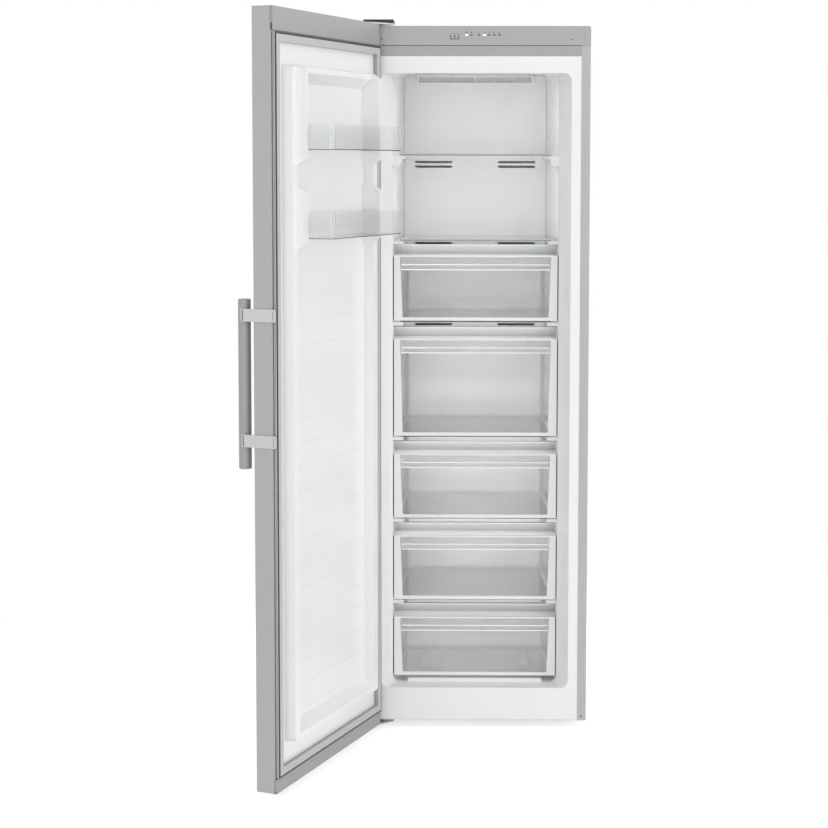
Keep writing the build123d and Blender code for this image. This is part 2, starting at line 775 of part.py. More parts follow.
def duct_cover():
    """The panel in front of the evaporator, with a row of vents for each level."""
    high = cavity_ceiling - fit_gap
    body = block(both(duct_half), (duct_front, coil_back), (duct_bottom, high))
    corners = [edge for edge in body.edges().filter_by(Axis.Y) if edge.center().Z > high - 1]
    body = fillet(corners, cavity_radius)
    body -= block(both(duct_half - duct_wall), (duct_front + duct_wall, body_depth),
                  (duct_bottom - 1, high + 1))
    face = block(both(duct_face_half), (duct_front, duct_front + duct_wall),
                 (duct_bottom, high))
    corners = [edge for edge in face.edges().filter_by(Axis.Y) if edge.center().Z > high - 1]
    panel = body + fillet(corners, cavity_radius)
    levels = [shelf_tops[shelf] - drop for shelf, drop in shelf_vents]
    levels += [drawer_spans()[drawer][1] - drop for drawer, drop in drawer_vents]
    for level in levels:
        slot = block((vent_inner, vent_inner + vent_length),
                     (duct_front - 1, duct_front + duct_wall + 1),
                     (level - vent_height / 2, level + vent_height / 2))
        slot = fillet(slot.edges().filter_by(Axis.Y), vent_height / 2 - 0.4)
        panel -= slot
        panel -= mirrored(slot)
    window = block(both(grille_half - 8), (duct_front - 1, duct_front + duct_wall + 1),
                   (grille_bottom + 5, cavity_ceiling - 6))
    return panel - window


def return_grille():
    """The grey grille at the top, where the air goes back to the evaporator."""
    high = cavity_ceiling - 2 * fit_gap
    back = duct_front - 0.2
    frame = block(both(grille_half), (back - grille_depth, back), (grille_bottom, high))
    frame = fillet(frame.edges().filter_by(Axis.Y), 2)
    opening = (grille_bottom + grille_rim, high - grille_rim)
    frame -= block(both(grille_half - 5), (back - grille_depth - 1, back + 1), opening)
    front = back - grille_depth + 1
    low = opening[0] - louver_thickness
    while low < opening[1]:
        louver = side_plate(
            ((front, low), (front, low + louver_thickness),
             (back, low + louver_rise + louver_thickness), (back, low + louver_rise)),
            both(grille_half - 4))
        frame += louver & block(both(grille_half - 4), (front, back),
                                (opening[0] - 1, opening[1] + 1))
        low += louver_pitch
    for x in (-110.0, -55.0, 0.0, 55.0, 110.0):
        frame += block((x - 1, x + 1), (back - grille_depth + 2, back),
                       (grille_bottom + 2, high - 2))
    return frame


def evaporator():
    """Plate fins on two winding tubes, against the back of the liner."""
    coil = None
    for y in coil_columns:
        reach = (fin_count - 1) * fin_pitch / 2 + 14
        points, side = [], -1
        for row in range(coil_rows):
            z = coil_bottom + 22 + row * coil_pitch
            points += [(side * reach, y, z), (-side * reach, y, z)]
            side = -side
        winding = tube(points, coil_pitch / 2 - 0.5, coil_tube)
        coil = winding if coil is None else coil + winding
    for index in range(fin_count):
        x = (index - (fin_count - 1) / 2) * fin_pitch
        coil += block((x - fin_thickness / 2, x + fin_thickness / 2), coil_depth,
                      (coil_bottom, coil_top))
    return coil


def defrost_heater():
    """The heating tube that is clipped under the fins."""
    z = coil_bottom - fit_gap - heater_radius
    reach = (fin_count - 1) * fin_pitch / 2 + 4
    near, far = coil_columns
    return tube(((-reach, near, z), (reach, near, z), (reach, far, z), (-reach, far, z)),
                (far - near) / 2 - 0.5, heater_radius)


def fan_motor():
    """The fan's motor on its mounting frame, with the shaft towards the front."""
    back = coil_back
    frame = block(both(62), (back - 2, back), (fan_z - 62, fan_z + 62))
    frame = fillet(frame.edges().filter_by(Axis.Y), 10)
    for z_sign in (-1, 1):
        for x_sign in (-1, 1):
            frame -= rod((x_sign * 36, back - 5, fan_z + z_sign * 36),
                         (x_sign * 36, back + 5, fan_z + z_sign * 36), 18)
    body = rod((0, back - motor_length, fan_z), (0, back - 1, fan_z), motor_radius)
    body = fillet(body.faces().sort_by(Axis.Y)[0].edges(), 3)
    shaft = rod((0, fan_front + hub_cap + fit_gap, fan_z), (0, back - 5, fan_z), fan_shaft)
    return frame + body + shaft


def fan_wheel():
    """The fan: pitched blades on a hub that turns with the shaft's axis."""
    hub = rod((0, fan_front, fan_z), (0, fan_back, fan_z), fan_hub)
    hub = fillet(hub.faces().sort_by(Axis.Y)[0].edges(), 3)
    blade = Box(fan_radius - fan_hub + 2, 1.6, 26)
    blade = fillet(blade.edges().filter_by(Axis.Y), 6)
    middle = (fan_radius + fan_hub - 2) / 2
    for index in range(fan_blades):
        turn = Rot(0, 360 / fan_blades * index, 0)
        place = Pos(0, (fan_front + fan_back) / 2, fan_z) * turn * Pos(middle, 0, 0)
        hub += place * Rot(32, 0, 0) * blade
    return hub - rod((0, fan_front + hub_cap, fan_z), (0, fan_back + 1, fan_z),
                     fan_shaft + fan_clearance)


def drain_parts():
    """The trough under the evaporator, its drain pipe, and the pan over the compressor."""
    low = step_top + fit_gap
    half, front, back = 165.0, duct_front + duct_wall + 2, cavity_back - 2
    trough = side_plate(((front, low + 40), (front, low + 8), (drain_y, low), (back, low + 8),
                         (back, low + 40)), both(half))
    hollow = side_plate(((front + 1.5, low + 41), (front + 1.5, low + 9), (drain_y, low + 1.6),
                         (back - 1.5, low + 9), (back - 1.5, low + 41)), both(half - 1.5))
    pipe_low = pump_top + 14
    outer = rod((drain_x, drain_y, pipe_low), (drain_x, drain_y, low + 3), drain_radius)
    bore = rod((drain_x, drain_y, pipe_low - 1), (drain_x, drain_y, low + 9), drain_radius - 1.5)
    trough = trough - hollow + outer - bore
    pan_low = pump_top + fit_gap
    pan = block((-70, 175), (room_front + 12, body_depth - 14), (pan_low, pan_low + pan_height))
    pan = fillet(pan.edges().filter_by(Axis.Z), 14)
    inside = block((-68, 173), (room_front + 14, body_depth - 16),
                   (pan_low + 2, pan_low + pan_height + 1))
    inside = fillet(inside.edges().filter_by(Axis.Z), 12)
    return group(trough, pan - inside)


# ------------------------------------------------------------------ compressor and circuit


def pump_mounts():
    """The four rubber mounts that the compressor stands on."""
    mounts = []
    for x_sign in (-1, 1):
        for y_sign in (-1, 1):
            x, y = pump_x + x_sign * mount_places[0], pump_y + y_sign * mount_places[1]
            body = rod((x, y, tray_top), (x, y, tray_top + mount_height), mount_radius)
            body -= rod((x, y, tray_top + 3), (x, y, tray_top + mount_height + 1), 4)
            mounts.append(body)
    return group(*mounts)


def pump():
    """The sealed compressor: a drawn shell with its seam, feet and terminal box."""
    plate_low = tray_top + mount_height
    plate = block((pump_x - 104, pump_x + 104), (pump_y - 74, pump_y + 74),
                  (plate_low, plate_low + pump_plate))
    plate = fillet(plate.edges().filter_by(Axis.Z), 16)
    shell_low = plate_low + pump_plate - 0.5
    shell = rod((pump_x, pump_y, shell_low), (pump_x, pump_y, pump_top), pump_radius)
    shell = fillet(shell.faces().sort_by(Axis.Z)[-1].edges(), 38)
    seam = rod((pump_x, pump_y, 96), (pump_x, pump_y, 100), pump_radius + 2.5)
    box = block((pump_x - pump_radius - 20, pump_x - pump_radius + 12),
                (pump_y - 24, pump_y + 24), (52, 104))
    box = fillet(box.edges().filter_by(Axis.X), 4)
    return plate + shell + seam + box


def refrigerant_pipes():
    """The compressor's two pipes, and the drier between the condenser and the capillary."""
    shell_side = pump_x + pump_radius
    roof = room_top - floor_sheet
    room_end = room_top - condenser_end
    suction_x, suction_y, suction_z = shell_side + 40, pump_y - 40, 118.0
    suction = tube(((shell_side - 3, pump_y, suction_z), (suction_x, pump_y, suction_z),
                    (suction_x, suction_y, suction_z), (suction_x, suction_y, roof)), 14, 4)
    out_x, out_z = shell_side + 60, 84.0
    outlet = tube(((shell_side - 3, pump_y, out_z), (out_x, pump_y, out_z),
                   (out_x, condenser_last, out_z), (condenser_x, condenser_last, out_z),
                   (condenser_x, condenser_last, room_end)), 10, condenser_tube)
    solid_shell = rod((pump_x, pump_y, 0), (pump_x, pump_y, room_top), pump_radius + 0.1)
    drier_x, drier_low, drier_high = -175.0, 84.0, 150.0
    drier = rod((drier_x, condenser_last, drier_low), (drier_x, condenser_last, drier_high), 9.5)
    drier = chamfer(drier.edges().filter_by(GeomType.CIRCLE), 6.5)
    inlet = tube(((-condenser_x, condenser_last, room_end), (-condenser_x, condenser_last, 60),
                  (drier_x, condenser_last, 60), (drier_x, condenser_last, drier_low + 1)),
                 10, condenser_tube)
    capillary = tube(((drier_x, condenser_last, drier_high - 1),
                      (drier_x, condenser_last, roof - 13),
                      (drier_x - 50, condenser_last, roof - 13),
                      (drier_x - 50, condenser_last, roof)), 6, 1.6)
    return group(suction - solid_shell, outlet - solid_shell, drier + inlet + capillary)


def condenser():
    """A winding tube behind each side wall, where it gives its heat to the steel."""
    x = condenser_x
    points = []
    for run in range(condenser_runs):
        y = condenser_first + run * condenser_pitch
        ends = (condenser_bottom, condenser_top) if run % 2 == 0 else (
            condenser_top, condenser_bottom)
        points += [(x, y, ends[0]), (x, y, ends[1])]
    points[-1] = (x, condenser_last, room_top - condenser_end)
    winding = tube(points, condenser_pitch / 2 - 0.5, condenser_tube)
    return group(winding, mirrored(winding))


def mains_inlet():
    """The socket for the supply cable, on a small stand in the machine room."""
    left, right, back, low = inlet_left, inlet_left + 40, body_depth - 3, tray_top
    foot = block((left, right), (back - 40, back - 2), (low, low + 2))
    riser = block((left + 6, right - 6), (back - 30, back - 27), (low, 60))
    case = block((left, right), (back - 30, back), (58, 88))
    case = fillet(case.edges().filter_by(Axis.Y), 3)
    mouth = block((left + 7, right - 7), (back - 18, back + 1), (63.5, 82.5))
    mouth = chamfer([edge for edge in mouth.edges().filter_by(Axis.Y) if edge.center().Z > 70], 5)
    case = case + foot + riser - mouth
    for x, z in ((left + 13, 70), (right - 13, 70), ((left + right) / 2, 76)):
        case += block((x - 1, x + 1), (back - 19, back - 4), (z - 3, z + 3))
    return case


# ------------------------------------------------------------------ shelves


def shelf_pane(front, low):
    """A sheet of safety glass with rounded corners and softened edges."""
    pane = block(both(glass_half), (front, shelf_back), (low, low + glass))
    pane = fillet(pane.edges().filter_by(Axis.Z), 6)
    return chamfer(pane.faces().sort_by(Axis.Z)[-1].edges(), 0.6)


def shelf_trim(front, low, half):
    """The white strip that is pushed onto a shelf's front edge, with a groove for the glass."""
    trim_low = low - fit_gap
    strip = block(both(half), (front - 2.5, front - 2.5 + trim_depth),
                  (trim_low, trim_low + trim_height))
    strip = fillet(strip.faces().sort_by(Axis.Y)[0].edges(), 1.2)
    strip -= block(both(glass_half + 0.5), (front - 0.2, front + trim_depth),
                   (low - fit_gap - 1, low + glass + 0.2))
    return strip


# ------------------------------------------------------------------ drawers


def drawer_plan(inset, back):
    """A drawer seen from above: full width in front, narrower at the back."""
    front_half = drawer_half - 4 - inset
    rear_half = drawer_back_half - inset
    front_y, rear_y = drawer_front + frame_depth + inset, back - inset
    face = make_face(Polyline((-front_half, front_y), (front_half, front_y),
                              (rear_half, rear_y), (-rear_half, rear_y), close=True))
    rear = [corner for corner in face.vertices() if corner.Y > rear_y - 1]
    return fillet(rear, drawer_corner - inset)


def drawer_tub(low, high, back):
    """The clear tub, open at the top, with its window at the front and a rim all round."""
    rim = high - grip_drop - grip_wall - 0.2
    outer = Pos(0, 0, low) * extrude(drawer_plan(0, back), amount=rim - low)
    bottom = [edge for edge in outer.faces().sort_by(Axis.Z)[0].edges()
              if edge.center().Y > drawer_front + frame_depth + 1]
    outer = chamfer(bottom, 5)
    inner = Pos(0, 0, low + drawer_wall) * extrude(drawer_plan(drawer_wall, back),
                                                   amount=rim - low)
    bottom = [edge for edge in inner.faces().sort_by(Axis.Z)[0].edges()
              if edge.center().Y > drawer_front + frame_depth + drawer_wall + 1]
    inner = chamfer(bottom, 5)
    tub = outer - inner
    sill = high - grip_drop
    for drop in window_ribs:
        level = sill - drop
        tub += block(both(window_half(level - 1, low, sill) - fit_gap),
                     (drawer_front + frame_depth - 1.2, drawer_front + frame_depth + 0.5),
                     (level - 1, level + 1))
    return tub


def window_half(level, low, rim):
    """Half the window's width at a height: the uprights spread towards the foot."""
    spread = post_spread * (rim - level) / (rim - low - frame_foot)
    return drawer_half - post_width - spread


def drawer_frame(low, high):
    """The frosted front frame with the scooped grip over the window."""
    rim = high - grip_drop
    back = drawer_front + grip_depth
    nose = back - grip_overhang
    profile = ((drawer_front, rim - rim_strip), (drawer_front, rim), (back - grip_wall, rim),
               (nose, high - grip_wall), (nose, high), (nose + grip_flange, high),
               (nose + grip_flange, high - grip_wall), (nose + grip_wall * 1.6, high - grip_wall),
               (back + grip_wall * 0.6, rim - grip_wall), (drawer_front + grip_wall,
                                                          rim - grip_wall),
               (drawer_front + grip_wall, rim - rim_strip))
    grip = side_plate(profile, both(drawer_half))
    plate_back = drawer_front + frame_depth - fit_gap
    plate = block(both(drawer_half), (drawer_front, plate_back),
                  (low, rim - rim_strip + 0.1))
    plate = fillet(plate.edges().filter_by(Axis.Y), 1.2)
    plane = Plane(origin=(0, drawer_front - 1, 0), x_dir=(1, 0, 0), z_dir=(0, 1, 0))
    top, foot = window_half(rim, low, rim), window_half(low + frame_foot, low, rim)
    outline = Polyline((-foot, -low - frame_foot), (foot, -low - frame_foot), (top, -rim),
                       (-top, -rim), close=True)
    window = extrude(plane * make_face(outline), amount=frame_depth + 2)
    frame = grip + (plate - window)
    for side in (-1, 1):
        end = (drawer_half - grip_wall, drawer_half)
        span = end if side > 0 else (-end[1], -end[0])
        frame += side_plate(((drawer_front, rim - 2), (back, rim - 2),
                             (nose + 2, high - 1), (nose, high - 1), (back - 12, rim),
                             (drawer_front, rim)), span)
    return frame


# ------------------------------------------------------------------ door


def swing(angle):
    """Turn about the hinge pins, away from the shut door."""
    return Pos(hinge_x, hinge_y, 0) * Rot(0, 0, -angle) * Pos(-hinge_x, -hinge_y, 0)


def door_skin():
    """The steel outer pan: a front with its four edges turned back."""
    outer = block(both(door_half), (-door_face, -pan_edge), (door_bottom, door_top))
    outer = fillet(outer.faces().sort_by(Axis.Y)[0].edges().filter_by(Axis.Z), door_bend + steel)
    inner = block(both(door_half - steel), (-door_face + steel, -pan_edge + 1),
                  (door_bottom + steel, door_top - steel))
    inner = fillet(inner.faces().sort_by(Axis.Y)[0].edges().filter_by(Axis.Z), door_bend)
    skin = outer - inner
    return skin - rod((hinge_x, hinge_y, door_bottom - 5), (hinge_x, hinge_y, door_top + 5),
                      bush_radius + 0.2)


def door_end_caps():
    """The grey caps across the top and bottom of the door's inner side."""
    caps = []
    for low, high, slot in ((door_top - top_cap_height, door_top, (1, 17)),
                            (door_bottom, door_bottom + bottom_cap_height, (2, 6))):
        cap = block(both(door_half - 0.5), (-cap_seam, -cap_face), (low, high))
        cap = fillet(cap.faces().sort_by(Axis.Y)[-1].edges(), 1.5)
        cap += block(both(door_half - cap_core_inset), (-door_edge + fit_gap, -cap_seam + 1),
                     (low + cap_core_inset, high - cap_core_inset))
        notch = block((door_half - cap_notch[0], door_half + 1), cap_notch[1:],
                      (low + slot[0], low + slot[1]))
        caps.append(cap - notch - mirrored(notch))
    return group(*caps)


def lining_relief(grow):
    """What stands up from the door's flat lining: the dyke and the bin towers."""
    base = -door_edge + fit_gap + door_liner_wall
    crest = base + dyke_height - grow
    foot = base - door_liner_wall - grow
    outer_foot = front_sketch(dyke_half - grow, (dyke_bottom + grow, dyke_top - grow), foot, 12)
    outer_crest = front_sketch(dyke_half - dyke_draft - grow,
                               (dyke_bottom + dyke_draft + grow, dyke_top - dyke_draft - grow),
                               crest, 10)
    ring = loft([outer_foot, outer_crest], ruled=True)
    inner_half = dyke_half - dyke_draft - dyke_width + grow
    inner_low = dyke_bottom + dyke_draft + dyke_cross - grow
    inner_high = dyke_top - dyke_draft - dyke_cross + grow
    over = dyke_run / (crest - foot)
    ring -= side_plate(
        ((foot - 1, inner_low + dyke_run + over), (crest + 1, inner_low - over),
         (crest + 1, inner_high + over), (foot - 1, inner_high - dyke_run - over)),
        both(inner_half))
    peak = crest + tower_height
    for low, high in tower_spans:
        outline = ((foot, low + grow), (foot, high - grow), (crest, high - grow),
                   (peak, high - grow - tower_chamfer), (peak, low + grow + tower_chamfer),
                   (crest, low + grow))
        tower = side_plate(outline, (tower_half - tower_width + grow, tower_half - grow))
        ring += tower
        ring += mirrored(tower)
    return ring


def door_lining():
    """The white moulded lining of the door, with its ribs and the bins' ledges."""
    base = -door_edge + fit_gap
    face = base + door_liner_wall
    low = door_bottom + bottom_cap_height + fit_gap
    high = door_top - top_cap_height - fit_gap
    sheet = block(both(door_half - 1.5), (base, face), (low, high))
    lining = sheet + lining_relief(0)
    lining -= lining_relief(door_liner_wall)
    for index in range(lining_rib_count):
        z = lining_rib_first + index * lining_rib_pitch
        rib = block(both(lining_rib_half), (face - 0.5, face + lining_rib),
                    (z - lining_rib_height / 2, z + lining_rib_height / 2))
        lining += rib
    inner = tower_half - tower_width
    for bottom in bin_bottoms:
        ledge = block((inner - bin_ledge_reach, inner + 0.8), (face - 0.5, face + 36),
                      (bottom - fit_gap - bin_ledge, bottom - fit_gap))
        lining += ledge
        lining += mirrored(ledge)
    return lining


def door_foam():
    """The foam inside the door, which also fills the dyke and the towers."""
    half = door_half - steel - fit_gap
    foam = block(both(half), (-door_face + steel + fit_gap, -door_edge),
                 (door_bottom + steel + fit_gap, door_top - steel - fit_gap))
    foam = chamfer(foam.faces().sort_by(Axis.Y)[0].edges().filter_by(Axis.Z), door_bend)
    foam += lining_relief(door_liner_wall + fit_gap)
    for low, high in ((door_bottom, door_bottom + bush_length + 2),
                      (door_top - bush_length - 2, door_top)):
        foam -= rod((hinge_x, hinge_y, low), (hinge_x, hinge_y, high), bush_radius + fit_gap)
    return foam


def door_gasket():
    """The grey magnetic seal: a foot, a soft bellows and the flat magnet strip."""
    low = door_bottom + bottom_cap_height + fit_gap + 1
    high = door_top - top_cap_height - fit_gap - 1
    base = -door_edge + fit_gap + door_liner_wall

    def ring(inset, y_span):
        """One layer of the seal, with its outer edge set in by an amount."""
        half = gasket_half - inset
        layer = block(both(half), y_span, (low + inset, high - inset))
        hole = gasket_half - gasket_width + inset * 0.35
        cut = gasket_width - inset * 0.35
        return layer - block(both(hole), (y_span[0] - 1, y_span[1] + 1), (low + cut, high - cut))

    seal = ring(0.0, (base + gasket_layers[-1][2] - 0.2, -gasket_lip))
    for inset, start, end in gasket_layers:
        seal += ring(inset, (base + start, base + end))
    broad = front_sketch(gasket_half, (low, high), -gasket_lip, 3)
    narrow = front_sketch(gasket_half - gasket_lip_inset,
                          (low + gasket_lip_inset, high - gasket_lip_inset), -gasket_face, 3)
    crown = loft([broad, narrow], ruled=True)
    crown -= block(both(gasket_half - gasket_width), (-gasket_lip - 1, 1),
                   (low + gasket_width, high - gasket_width))
    return seal + crown


def hinge_bushes():
    """The plastic bushes in the door that turn on the hinge pins."""
    bushes = []
    for low, high in ((door_bottom, door_bottom + bush_length),
                      (door_top - bush_length, door_top)):
        bush = rod((hinge_x, hinge_y, low), (hinge_x, hinge_y, high), bush_radius)
        bushes.append(bush - rod((hinge_x, hinge_y, low - 1), (hinge_x, hinge_y, high + 1),
                                 pin_radius + pin_clearance))
    return group(*bushes)


handle_x = door_half - handle_radius
handle_y = -door_face - handle_standoff


def handle_bar():
    """The upright round bar with rounded ends."""
    bar = rod((handle_x, handle_y, handle_bottom),
              (handle_x, handle_y, handle_bottom + handle_length), handle_radius)
    return fillet(bar.edges().filter_by(GeomType.CIRCLE), 2)


def handle_brackets():
    """Two flat brackets on the door's edge that hold the bar."""
    brackets = []
    for middle in bracket_levels:
        span = (middle - bracket_height / 2, middle + bracket_height / 2)
        outer = door_half + fit_gap + bracket_thickness
        plate = block((door_half + fit_gap, outer), (handle_y - 0.5, -bracket_edge), span)
        plate = fillet(plate.edges().filter_by(Axis.X), 2.5)
        plate -= block((outer - bracket_sink_depth, outer + 1),
                       (-bracket_edge - bracket_sink, 0),
                       (span[0] + bracket_rim, span[1] - bracket_rim))
        lug = rod((handle_x, handle_y, middle - 9), (handle_x, handle_y, middle + 9),
                  handle_radius + 2.4)
        lug &= block((handle_x + 3, outer), (handle_y - 0.5, handle_y + 12), span)
        lug -= rod((handle_x, handle_y, span[0]), (handle_x, handle_y, span[1]),
                   handle_radius + 0.05)
        brackets.append(plate + lug)
    return group(*brackets)


def door_bin(bottom):
    """A clear bin that stands on the lining's ledges, open at the top."""
    back = bin_back
    outer = block(both(bin_half), (back, bin_front), (bottom, bottom + bin_height))
    front = [edge for edge in outer.edges().filter_by(Axis.Z) if edge.center().Y > back + 1]
    outer = fillet(front, bin_corner)
    outer = chamfer(outer.faces().sort_by(Axis.Z)[0].edges(), 2)
    inner = block(both(bin_half - bin_wall), (back + bin_wall, bin_front - bin_wall),
                  (bottom + bin_wall, bottom + bin_height + 1))
    front = [edge for edge in inner.edges().filter_by(Axis.Z) if edge.center().Y > back + 5]
    inner = fillet(front, bin_corner - bin_wall)
    return outer - inner


# ------------------------------------------------------------------ writing the pieces

right_side = side_panel()
save("side_panel_right", right_side)
save("side_panel_left", mirrored(right_side))
save("top_front_rail", top_rail())
save("top_cover", top_cover())
save("rear_panel", rear_panel())
save("base_tray", base_tray())
save("inner_liner", inner_liner())
save("insulation_foam", insulation())
save("control_fascia", control_panel())
save("indicator_lights", indicator_lights())
save("power_button", power_button())
save("control_board", control_board())
save("top_hinge_bracket", top_hinge())
save("top_hinge_cover", hinge_cover())
save("bottom_hinge_bracket", bottom_hinge())
save("cabinet_screws", cabinet_screws())
save("front_foot_left", front_foot(-foot_x))
save("front_foot_right", front_foot(foot_x))
save("rear_roller_left", rear_roller(-roller_x))
save("rear_roller_right", rear_roller(roller_x))
save("air_duct_cover", duct_cover())
save("return_air_grille", return_grille())
save("evaporator", evaporator())
save("defrost_heater", defrost_heater())
save("fan_motor", fan_motor())
save("fan_wheel", fan_wheel())
save("drain_parts", drain_parts())
save("compressor_mounts", pump_mounts())
save("compressor", pump())
save("refrigerant_pipes", refrigerant_pipes())
save("condenser", condenser())
save("mains_inlet", mains_inlet())

levels = shelf_levels()
for number, front in enumerate(shelf_fronts, start=1):
    underside = levels[number - 1]
    trim_half = bracket_half - 1 if number == 1 else cavity_front_half - 5
    save(f"shelf_{number}_glass", shelf_pane(front, underside))
    save(f"shelf_{number}_trim", shelf_trim(front, underside, trim_half))
for number, underside in enumerate(levels[len(shelf_fronts):], start=1):
    save(f"divider_shelf_{number}", shelf_pane(drawer_front + 14, underside))

for number, (low, high) in enumerate(drawer_spans(), start=1):
    save(f"drawer_{number}_tub", drawer_tub(low, high, drawer_backs[number - 1]))
    save(f"drawer_{number}_frame", drawer_frame(low, high))

opened = swing(door_open)
save("door_skin", door_skin(), opened)
save("door_end_caps", door_end_caps(), opened)
save("door_liner", door_lining(), opened)
save("door_foam", door_foam(), opened)
save("door_gasket", door_gasket(), opened)
save("hinge_bushes", hinge_bushes(), opened)
save("handle_bar", handle_bar(), opened)
save("handle_brackets", handle_brackets(), opened)
for number, bottom in enumerate(bin_bottoms, start=1):
    save(f"door_bin_{number}", door_bin(bottom), opened)
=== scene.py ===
"""Studio scene of an upright no-frost freezer whose door stands open.

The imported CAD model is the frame. This script gives each of its solids a procedural
finish, adds the small trim that the solids leave out, and sets a plain pale studio
round it, with the camera where the photograph was taken from.
"""

import logging
import math
from dataclasses import dataclass, replace
from enum import Enum

import bmesh
import bpy
from mathutils import Matrix, Vector


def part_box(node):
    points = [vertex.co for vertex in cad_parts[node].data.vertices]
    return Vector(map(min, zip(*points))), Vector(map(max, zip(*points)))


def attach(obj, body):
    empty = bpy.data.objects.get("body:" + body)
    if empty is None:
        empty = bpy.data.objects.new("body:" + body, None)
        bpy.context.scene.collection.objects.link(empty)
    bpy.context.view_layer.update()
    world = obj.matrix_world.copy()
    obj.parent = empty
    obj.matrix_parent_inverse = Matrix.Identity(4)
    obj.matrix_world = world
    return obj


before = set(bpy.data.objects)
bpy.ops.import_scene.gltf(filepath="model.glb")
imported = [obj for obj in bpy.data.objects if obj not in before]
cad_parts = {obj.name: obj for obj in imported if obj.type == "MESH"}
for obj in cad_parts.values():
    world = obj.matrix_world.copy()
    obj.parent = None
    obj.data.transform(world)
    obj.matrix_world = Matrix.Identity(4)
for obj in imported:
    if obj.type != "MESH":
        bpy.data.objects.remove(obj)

log = logging.getLogger("freezer")

MM = 0.001
PHOTO_SIDE = 828            # the photograph is square, this many pixels a side
SHELVES = 2
DRAWERS = 5
SUNK = 0.05                 # how far a thin piece goes into what carries it, in millimetres

Point = tuple[float, float, float]
Pair = tuple[float, float]  # x and z, a width and a height, or where something starts and ends
Outline = list[Pair]        # the corners of a flat shape, as x and z in millimetres
Material = bpy.types.Material
Piece = bpy.types.Object
Tree = bpy.types.NodeTree
Node = bpy.types.Node
Socket = bpy.types.NodeSocket


# ---- colours and nodes


def linear(code: str) -> tuple[float, float, float, float]:
    """Turn an sRGB colour into the linear one that shaders take.

    Args:
        code: the colour as "#rrggbb".

    Returns:
        Red, green, blue and an alpha of 1.
    """
    parts = [int(code[i:i + 2], 16) / 255 for i in (1, 3, 5)]
    straight = [p / 12.92 if p <= 0.04045 else ((p + 0.055) / 1.055) ** 2.4 for p in parts]
    return straight[0], straight[1], straight[2], 1.0


def add_node(tree: Tree, kind: str, values: dict | None = None, links: dict | None = None,
             **settings: object) -> Node:
    """Add one node to a tree, with its settings and its links.

    Args:
        tree: the node tree.
        kind: Blender's name for the node's type.
        values: what each input socket is set to, by its name or number.
        links: the output socket that feeds each input, by its name or number.
        settings: the node's own properties.

    Returns:
        The new node.
    """
    node = tree.nodes.new(kind)
    for name, value in settings.items():
        setattr(node, name, value)
    for name, value in (values or {}).items():
        node.inputs[name].default_value = value
    for name, source in (links or {}).items():
        tree.links.new(source, node.inputs[name])
    return node


def set_sockets(shader: Node, values: dict[str, object]) -> Socket:
    """Set some of a shader's own sockets.

    Args:
        shader: the shader node.
        values: what each socket is set to, by its name.

    Returns:
        The shader's surface.
    """
    for name, value in values.items():
        shader.inputs[name].default_value = value
    return shader.outputs["BSDF"]


class Run(Enum):
    """Which way the marks of a surface run."""

    EVEN = (1.0, 1.0, 1.0)
    ALONG_Z = (1.0, 1.0, 0.02)


def noise(tree: Tree, size: float, run: Run = Run.EVEN, detail: float = 2.0) -> Socket:
    """A soft random pattern fixed to the piece.

    Args:
        tree: the material's node tree.
        size: how far apart its marks are, in millimetres.
        run: the way they run.
        detail: how many finer layers it has.

    Returns:
        The pattern's value, from 0 to 1.
    """
    place = add_node(tree, "ShaderNodeTexCoord")
    stretched = add_node(tree, "ShaderNodeMapping", {"Scale": run.value},
                         {"Vector": place.outputs["Object"]})
    return add_node(tree, "ShaderNodeTexNoise",
                    {"Scale": 1.0 / (size * MM), "Detail": detail, "Roughness": 0.55},
                    {"Vector": stretched.outputs["Vector"]}).outputs["Fac"]


def between(tree: Tree, source: Socket, low: float, high: float) -> Socket:
    """Spread a pattern's middle part over a range of values.

    Args:
        tree: the material's node tree.
        source: the pattern.
        low: the value where the pattern is darkest.
        high: the value where it is lightest.

    Returns:
        The value between the two.
    """
    return add_node(tree, "ShaderNodeMapRange",
                    {"From Min": 0.3, "From Max": 0.7, "To Min": low, "To Max": high},
                    {"Value": source}).outputs["Result"]


def tinted(tree: Tree, source: Socket, colour: str, spread: float) -> Socket:
    """A colour that a pattern makes a little darker and lighter.

    Args:
        tree: the material's node tree.
        source: the pattern.
        colour: the colour as "#rrggbb".
        spread: the darkest part's loss, from 0 to 1.

    Returns:
        The mottled colour.
    """
    base = linear(colour)
    dark = tuple(c * (1 - spread) for c in base[:3]) + (1.0,)
    light = tuple(min(1.0, c * (1 + spread * 0.5)) for c in base[:3]) + (1.0,)
    mix = add_node(tree, "ShaderNodeMix", {6: dark, 7: light},
                   {0: between(tree, source, 0, 1)}, data_type="RGBA")
    return mix.outputs[2]


def relief(tree: Tree, height: Socket, depth: float) -> Socket:
    """A bump of a real depth.

    Args:
        tree: the material's node tree.
        height: the pattern, from 0 to 1.
        depth: how deep its marks are, in millimetres.

    Returns:
        The bent normal.
    """
    return add_node(tree, "ShaderNodeBump", {"Strength": 1.0, "Distance": depth * MM},
                    {"Height": height}).outputs["Normal"]


# ---- finishes


